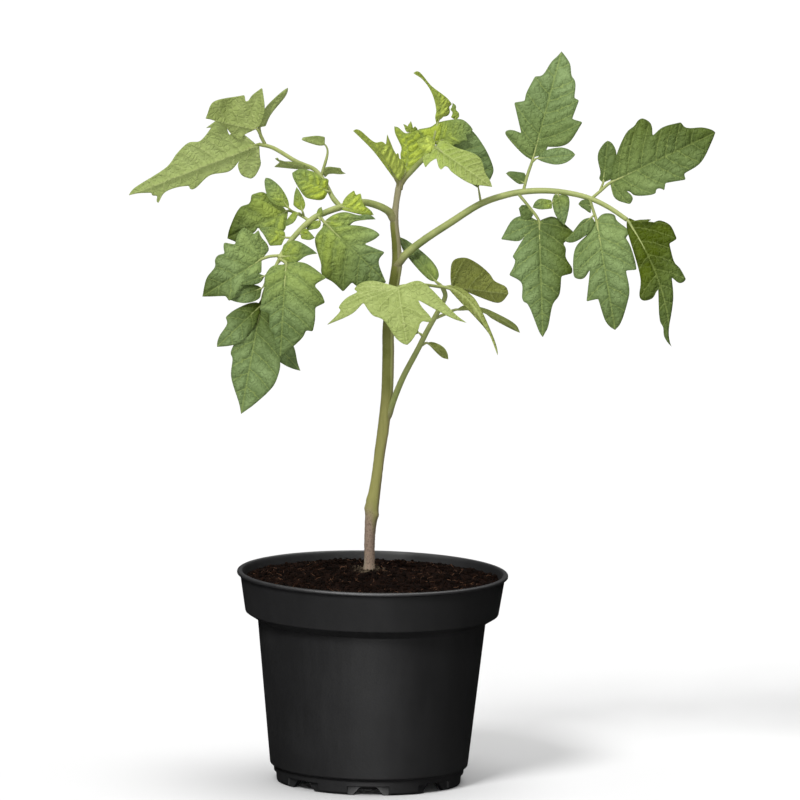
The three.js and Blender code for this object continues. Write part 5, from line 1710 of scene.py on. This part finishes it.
@dataclass(frozen=True)
class PottingSoil:
    """The soil that fills the pot, heaped round the stem, with its crumbs and fibres.

    sides is the outline below the top, which stands a little clear of the inside of the pot.
    """

    level: float = 105.0
    mound: float = 4.0
    spread: float = 20.0
    edge: float = 66.1
    sides: tuple[Point2, ...] = (
        (0.0, 1.9), (26.8, 1.9), (27.8, 6.7), (45.6, 6.7), (48.6, 9.7), (56.6, 85.3), (63.6, 89.9),
    )
    hole: float = 2.9
    clear: float = 4.2
    rings: int = 62
    steps: int = 300
    grains: tuple[Grains, ...] = (Grains(1, 4200, (0.25, 0.85)), Grains(2, 420, (0.8, 1.9)))
    fibres: int = 200

    def height(self, points: Array) -> Array:
        """Gives the height of the soil's top in millimetres.

        Args:
            points: Places (x, y) in millimetres.

        Returns:
            The heights.
        """
        x, y = points[:, 0], points[:, 1]
        heap = self.mound * bell(np.hypot(x - STEM_FOOT[0], y - STEM_FOOT[1]), self.spread)
        inward = np.clip(1.0 - np.hypot(x, y) / self.edge, 0.0, 1.0)
        uneven = 0.8 * np.sin(0.21 * x + 1.0) * np.cos(0.17 * y) * np.minimum(1.0, 4 * inward)
        lumps = np.array([
            noise.fractal(Vector((px * 0.16, py * 0.16, 3.0)), 0.7, 2.1, 5) for px, py in zip(x, y)
        ])
        return self.level + heap + uneven + lumps * 0.75 - 0.35

    def body(self) -> Piece:
        """Spins the soil's body, roughens its top and opens the stem's hole."""
        top = [(self.edge * (1.0 - k / self.rings), self.level) for k in range(self.rings + 1)]
        piece = spun("soil_body", [(r * MM, z * MM) for r, z in [*self.sides, *top]], self.steps)
        points = points_of(piece.data) / MM
        up = points[:, 2] > self.level - 0.01
        points[up, 2] = self.height(points[up, :2])
        move_points(piece.data, points * MM)
        clear_selection()
        x, y = STEM_FOOT
        bpy.ops.mesh.primitive_cylinder_add(
            vertices=32, radius=self.hole * MM, depth=60 * MM, location=(x * MM, y * MM, 106 * MM),
        )
        cut_away(piece, [settled()])
        piece.data.polygons.foreach_set("use_smooth", [True] * len(piece.data.polygons))
        store(piece.data, "shade", 0.5 + 0.5 * waver(points_of(piece.data) / MM, 0.25))
        return piece

    def spot(self, draw: np.random.Generator, reach: float) -> Point2:
        """Draws a place on the soil, within a share of its area."""
        away, turn = self.edge * math.sqrt(draw.uniform(0.0, reach)), draw.uniform(0.0, 2 * math.pi)
        return away * math.cos(turn), away * math.sin(turn)

    def crumbs(self) -> Piece:
        """Strews copies of two rough grains over the soil."""
        draw = np.random.default_rng(41)
        points, faces, shades, first = [], [], [], 0
        for kind in self.grains:
            clear_selection()
            bpy.ops.mesh.primitive_ico_sphere_add(subdivisions=kind.detail, radius=1.0)
            seed = bpy.context.object
            grain = points_of(seed.data)
            shell = np.array([tuple(face.vertices) for face in seed.data.polygons])
            bpy.data.objects.remove(seed)
            for _ in range(kind.count):
                x, y = self.spot(draw, 0.985)
                if math.hypot(x - STEM_FOOT[0], y - STEM_FOOT[1]) < self.clear:
                    continue
                size = draw.uniform(*kind.sizes) * draw.uniform(0.6, 1.0, size=3)
                lump = 1.0 + 0.4 * waver(grain, 1.3, (x, y, 0.0))
                turn = draw.uniform(0, 6.28)
                spin = np.array(Matrix.Rotation(turn, 3, Vector(draw.normal(size=3)).normalized()))
                lift = self.height(np.array([[x, y]]))[0] + float(size.mean()) * 0.25
                body = (grain * lump[:, None] * size) @ spin.T + np.array([x, y, lift])
                if np.hypot(body[:, 0], body[:, 1]).max() > self.edge + 0.2:
                    continue
                points.append(body)
                faces.append(shell + first)
                shades.append(np.full(len(grain), draw.uniform(0.0, 1.0) ** 1.6))
                first += len(grain)
        piece = mesh_object("soil_crumbs", np.vstack(points) * MM, np.vstack(faces).tolist())
        store(piece.data, "shade", np.concatenate(shades))
        return piece

    def slivers(self) -> Piece:
        """Strews thin bent fibres over the soil."""
        draw = np.random.default_rng(77)
        tubes = []
        while len(tubes) < self.fibres:
            middle = np.array(self.spot(draw, 0.9))
            aim, long = draw.uniform(0.0, 2 * math.pi), draw.uniform(1.4, 5.0)
            t = np.linspace(-0.5, 0.5, 8)
            bow = draw.normal(0.0, 0.18) * long
            way = np.array([math.cos(aim), math.sin(aim)])
            side = np.array([-way[1], way[0]])
            flat = middle + np.outer(t * long, way) + np.outer(bow * (1 - 4 * t**2), side)
            if np.hypot(flat[:, 0], flat[:, 1]).max() > self.edge - 0.8:
                continue
            if np.hypot(flat[:, 0] - STEM_FOOT[0], flat[:, 1] - STEM_FOOT[1]).min() < self.clear - 0.2:
                continue
            rise = self.height(flat) + 0.35 + draw.uniform(0.0, 0.5) + t * draw.normal(0.0, 1.2)
            thick = draw.uniform(0.06, 0.15)
            tubes.append(Tube(np.column_stack([flat, rise]), thick * (1.0 - 1.4 * np.abs(t) ** 2)))
            # This spare draw keeps the places of the fibres that follow.
            draw.uniform(0.0, 1.0)
        piece = tubes_mesh("soil_fibres", tubes, 0)
        made = points_of(piece.data) / MM
        store(piece.data, "shade", 0.5 + 0.5 * waver(made * (0.4, 0.4, 0.0), 1.0, (0.0, 0.0, 9.0)))
        return piece

    def build(self) -> None:
        """Models the soil and all that lies on it."""
        finish = PeatSoil().material()
        hand_over(self.body(), "soil", [finish])
        hand_over(self.crumbs(), "soil", [finish])
        hand_over(self.slivers(), "soil", [PeatFibre().material()])


# The plant


@dataclass(frozen=True)
class Hairs:
    """The short hairs of stems and stalks: thin closed three-sided spikes."""

    count: int
    shortest: float
    longest: float
    seed: int
    width: float = 0.035
    root: float = 0.08

    def grow(self, ground: Mesh) -> tuple[Array, Array]:
        """Grows the hairs from a mesh.

        Args:
            ground: The mesh.

        Returns:
            The hairs' points, in metres, and their triangles.
        """
        draw = np.random.default_rng(self.seed)
        ground.calc_loop_triangles()
        corners = np.empty(len(ground.loop_triangles) * 3, dtype=np.int64)
        ground.loop_triangles.foreach_get("vertices", corners)
        triangle = points_of(ground)[corners.reshape(-1, 3)]
        across = np.cross(triangle[:, 1] - triangle[:, 0], triangle[:, 2] - triangle[:, 0])
        area = np.linalg.norm(across, axis=1)
        chosen = draw.choice(len(area), size=self.count, p=area / area.sum())
        weights = draw.dirichlet((1.0, 1.0, 1.0), size=self.count)
        foot = (triangle[chosen] * weights[:, :, None]).sum(axis=1)
        out = across[chosen] / np.maximum(area[chosen], 1e-12)[:, None]
        aim = out + draw.normal(0.0, 0.28, size=(self.count, 3))
        aim /= np.linalg.norm(aim, axis=1)[:, None]
        long = draw.uniform(self.shortest * MM, self.longest * MM, size=self.count)[:, None]
        first = np.cross(aim, draw.normal(size=(self.count, 3)))
        first /= np.linalg.norm(first, axis=1)[:, None]
        second = np.cross(aim, first)
        base = foot - out * self.root * MM
        ring = [base + self.width * MM * (first * math.cos(turn) + second * math.sin(turn))
                for turn in (0.0, 2 * math.pi / 3, 4 * math.pi / 3)]
        points = np.stack([*ring, base + aim * long], axis=1).reshape(-1, 3)
        faces = np.array([(0, 2, 1), (0, 1, 3), (1, 2, 3), (2, 0, 3)])
        return points, (np.arange(self.count)[:, None, None] * 4 + faces).reshape(-1, 3)

    def build(self, ground: Piece, node: str, slot: str, finish: Material) -> None:
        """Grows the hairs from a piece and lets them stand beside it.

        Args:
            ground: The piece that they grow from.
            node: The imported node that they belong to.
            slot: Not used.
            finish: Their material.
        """
        points, triangles = self.grow(ground.data)
        hand_over(mesh_object(f"{ground.name}_hairs", points, triangles.tolist()), node, [finish])


@dataclass(frozen=True)
class MainStem:
    """The upright stem: drawn points, each with its radius, and scars, each with how far it swells."""

    course: tuple[Point4, ...] = (
        (-1.5, 78.0, 12.0, 2.2), (-1.8, 106.0, 12.0, 2.7), (-1.8, 109.5, 12.0, 3.2), (-1.8, 113.0, 12.0, 2.8),
        (-1.9, 128.0, 12.0, 2.8), (-1.0, 142.0, 12.0, 3.3), (1.0, 158.0, 12.0, 2.8), (2.5, 172.0, 12.0, 2.8),
        (4.3, 187.0, 12.0, 2.9), (5.6, 202.0, 12.0, 3.0), (5.8, 222.0, 12.0, 3.0), (5.6, 237.0, 12.0, 3.0),
        (8.0, 259.0, 11.0, 2.8), (9.4, 270.0, 10.5, 2.7), (8.8, 280.0, 10.0, 2.3), (7.6, 292.0, 10.0, 2.2),
        (8.3, 301.0, 10.0, 1.6), (9.3, 309.0, 10.0, 1.6), (10.2, 314.0, 9.4, 1.3), (10.8, 318.0, 8.8, 0.4),
    )
    scars: tuple[Point4, ...] = (
        (1.4, 138.5, 11.0, 0.9), (-4.2, 142.0, 11.4, 0.8), (-3.6, 146.5, 10.6, 0.5), (6.9, 181.0, 10.0, 0.5),
    )

    def build(self, skin: Material, hair: Material) -> None:
        """Models the stem with ribs and scars, and its hairs.

        Args:
            skin: The stem's material.
            hair: The hairs' material.
        """
        drawn = centripetal(np.array(self.course), 24)
        path = even(np.column_stack([placed(drawn[:, :3]), drawn[:, 3]]), 0.6)
        piece = tubes_mesh("main_stem", [Tube(path[:, :3], path[:, 3])], 10)
        points, out = points_of(piece.data) / MM, normals_of(piece.data)
        ribs = 0.22 * waver(points * (0.7, 0.7, 0.03)) + 0.07 * waver(points, 1.9)
        ribs += (1.0 - ease(points[:, 2], 128.0, 150.0)) * 0.16 * waver(points, 0.9)
        for *spot, swell in self.scars:
            away = (points - placed(np.array([spot]))) * (1, 1, 0.8)
            ribs += swell * bell(np.linalg.norm(away, axis=1), 1.7)
        move_points(piece.data, (points + out * ribs[:, None]) * MM)
        store(piece.data, "right", ease(out[:, 0], -0.2, 0.9))
        hand_over(piece, "stem", [skin])
        Hairs(3200, 0.3, 0.8, seed=3).build(piece, "stem", "stem_tissue", hair)


@dataclass(frozen=True)
class Stalk:
    """A leaf's main stalk or a branch of it: drawn points and the radii at its two ends."""

    course: tuple[Point3, ...]
    thick: float
    thin: float

    def tube(self) -> Tube:
        """Models it as one tapering tube, a little swollen beside the stem."""
        path = even(centripetal(placed(np.array(self.course, dtype=float)), 14), 0.7)
        run = np.linspace(0.0, 1.0, len(path))
        away = run * 0.7 * len(path)
        radii = self.thick + (self.thin - self.thick) * run
        return Tube(path, radii * (1.0 + 0.16 * bell(away - 4.5, 3.0) - 0.3 * bell(away, 1.2)))


@dataclass(frozen=True)
class CompoundLeaf:
    """A compound leaf: its stalks and its leaflets."""

    node: str
    slot: str
    stalks: tuple[Stalk, ...]
    leaflets: tuple[Leaflet, ...]
    hairs: int
    spacing: float = 0.85

    def build(self, faces: Sequence[Material], skin: Material,
              hair: Material) -> None:
        """Models the blades, the stalks and the stalks' hairs.

        Args:
            faces: The materials of the upper and the lower faces of the blades.
            skin: The stalks' material.
            hair: The hairs' material.
        """
        hand_over(self.blades(), self.node, faces)
        tubes = [stalk.tube() for stalk in self.stalks] + [leaflet.petiole() for leaflet in self.leaflets]
        piece = tubes_mesh(f"{self.node}_stalks", tubes, 4)
        points, out = points_of(piece.data), normals_of(piece.data)
        # How much each point of the stalks faces down, for their painted shade.
        store(piece.data, "under", ease(-out[:, 2], -0.1, 0.8))
        root = placed(np.array([self.stalks[0].course[0]], dtype=float))[0] * MM
        store(piece.data, "joint", 1.0 - ease(np.linalg.norm(points - root, axis=1), 0.002, 0.012))
        hand_over(piece, self.node, [skin])
        hairs = Hairs(self.hairs, 0.25, 0.8, seed=len(self.node), width=0.03)
        hairs.build(piece, self.node, self.slot, hair)

    def blades(self) -> Piece:
        """Models all leaflets' blades as one mesh."""
        made = [leaflet.blade(self.spacing * leaflet.closeness) for leaflet in self.leaflets]
        faces: list[tuple[int, ...]] = []
        first = 0
        for blade in made:
            faces += [tuple(k + first for k in face) for face in blade.faces]
            first += len(blade.points)
        piece = mesh_object(f"{self.node}_blades", np.vstack([blade.points for blade in made]) * MM, faces)
        piece.data.polygons.foreach_set("material_index", [side for blade in made for side in blade.sides])
        for key in made[0].numbers:
            store(piece.data, key, np.concatenate([blade.numbers[key] for blade in made]))
        drawn = np.vstack([blade.drawn for blade in made])
        layer = piece.data.uv_layers.new(name="blade")
        corners = np.empty(len(piece.data.loops), dtype=np.int64)
        piece.data.loops.foreach_get("vertex_index", corners)
        layer.data.foreach_set("uv", drawn[corners].astype(np.float32).ravel())
        return piece


LEAVES: tuple[CompoundLeaf, ...] = (
    CompoundLeaf("leaf_right", "leaf_tissue", (
        Stalk(((8, 268, 10), (14, 275, 9), (23, 282.5, 8), (36, 291.5, 7), (52, 302, 5), (64, 306.5, 3),
               (73, 308.5, 1), (85, 309.3, -2), (97, 308.3, -5), (108.5, 305.5, -8), (118, 301, -11),
               (127, 295, -14)), 2.1, 1.2),
    ), LEAF_RIGHT_LEAFLETS, 2600),
    CompoundLeaf("leaf_left", "leaf_tissue", (
        Stalk(((8, 291, 10), (5.5, 296, 9), (3, 298, 7), (-1.5, 300, 5), (-8.5, 301.4, 1), (-20, 298.6, -9),
               (-28.5, 295.3, -17), (-34.5, 292, -22), (-44.5, 281.5, -32), (-51, 271, -40)), 2.0, 1.3),
        Stalk(((-20, 298.6, -9), (-24, 303, -7), (-27, 308.5, -4), (-30, 313.5, 2), (-34, 318, 10),
               (-43.5, 322.2, 24), (-56.5, 329.5, 38), (-63, 331, 43)), 1.2, 1.0),
    ), LEAF_LEFT_LEAFLETS, 2600),
    CompoundLeaf("leaf_lower", "pale_leaf_tissue", (
        Stalk(((5.6, 188, 12), (8, 195.5, 10.2), (10, 201.5, 7), (14, 211.5, 2), (21, 225.5, -4),
               (25.5, 235, -8), (31.5, 246.5, -13), (34.5, 253.5, -17), (33, 258, -20)), 1.7, 1.2),
    ), LEAF_LOWER_LEAFLETS, 1500),
    CompoundLeaf("shoot_tip", "young_leaf_tissue", (
        Stalk(((9.3, 309.4, 10), (12, 314, 9.5), (15.7, 318, 8), (21, 323.7, 4), (26, 328.5, 1),
               (28, 331, 0)), 1.5, 1.1),
    ), SHOOT_TIP_LEAFLETS, 1200, 0.7),
)


# The studio


@dataclass(frozen=True)
class SoftLight:
    """A far, wide softbox: where it stands, how wide it looks in degrees, and its strength."""

    name: str
    place: Point3
    width: float
    strength: float

    def build(self) -> None:
        """Hangs the light and turns it to the plant."""
        light = bpy.data.lights.new(self.name, "SUN")
        light.angle, light.energy = math.radians(self.width), self.strength
        lamp = bpy.data.objects.new(self.name, light)
        lamp.location = self.place
        lamp.rotation_euler = (-Vector(self.place)).to_track_quat("-Z", "Y").to_euler()
        bpy.context.collection.objects.link(lamp)


@dataclass(frozen=True)
class Studio:
    """A pale floor, soft white light and the camera of the photo's view."""

    target: Point3 = (0.01232, 0.0, 0.1989)
    distance: float = 10.0
    elevation: float = 8.7
    roll: float = 1.15
    width_seen: float = 0.4123
    floor_size: float = 60.0
    sky: float = 0.2
    lights: tuple[SoftLight, ...] = (
        SoftLight("key", (-0.5, -1.0, 1.1), 16.0, 2.9),
        SoftLight("front", (0.0, -1.0, 0.0), 30.0, 1.45),
        SoftLight("top", (0.15, 0.1, 1.0), 60.0, 2.8),
    )

    def build(self) -> None:
        """Lays the floor, hangs the lights and sets up the camera."""
        self.floor()
        self.world()
        for light in self.lights:
            light.build()
        self.camera()

    def floor(self) -> None:
        """Lays the pale floor."""
        clear_selection()
        bpy.ops.mesh.primitive_plane_add(size=self.floor_size, location=(0.0, 0.0, 0.0))
        floor = bpy.context.object
        floor.name = "studio_floor"
        graph = Graph("studio_floor", {"Roughness": 0.75, "Specular IOR Level": 0.15})
        soft = graph.grain(graph.place(), 0.8)
        floor.data.materials.append(graph.finish(graph.mix(srgb(204, 204, 204), srgb(207, 207, 207), soft)))
        floor.visible_glossy = False

    def world(self) -> None:
        """Sets an even white sky."""
        world = bpy.data.worlds.new("studio_sky")
        world.use_nodes = True
        sky = world.node_tree.nodes["Background"]
        sky.inputs["Color"].default_value = (1.0, 1.0, 1.0, 1.0)
        sky.inputs["Strength"].default_value = self.sky
        world.cycles_visibility.glossy = False
        bpy.context.scene.world = world
        bpy.context.scene.view_settings.view_transform = "Standard"

    def camera(self) -> None:
        """Sets up the camera: far off, a little above, and rolled as in the photo."""
        tilt, roll = math.radians(self.elevation), math.radians(self.roll)
        view = Vector((0.0, math.cos(tilt), -math.sin(tilt)))
        level_up, level_right = Vector((0.0, math.sin(tilt), math.cos(tilt))), Vector((1.0, 0.0, 0.0))
        right = level_right * math.cos(roll) + level_up * math.sin(roll)
        up = level_up * math.cos(roll) - level_right * math.sin(roll)
        lens = bpy.data.cameras.new("photo_camera")
        lens.sensor_width = 36.0
        lens.lens = 36.0 * self.distance / self.width_seen
        lens.clip_start, lens.clip_end = 0.5, 100.0
        camera = bpy.data.objects.new("photo_camera", lens)
        place = Vector(self.target) - view * self.distance
        camera.matrix_world = Matrix.Translation(place) @ Matrix((right, up, -view)).transposed().to_4x4()
        bpy.context.collection.objects.link(camera)
        bpy.context.scene.camera = camera


def main() -> None:
    """Builds the dressed plant and the studio."""
    logging.basicConfig(level=logging.INFO, format="%(name)s: %(message)s")
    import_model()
    NurseryPot().build()
    PottingSoil().build()
    faces = [UPPER_FACE.material(), UNDER_FACE.material()]
    skin, hair = StalkSkin().material(), PlantHair().material()
    MainStem().build(StemSkin().material(), hair)
    for leaf in LEAVES:
        leaf.build(faces, skin, hair)
    Studio().build()


if __name__ == "__main__":
    main()
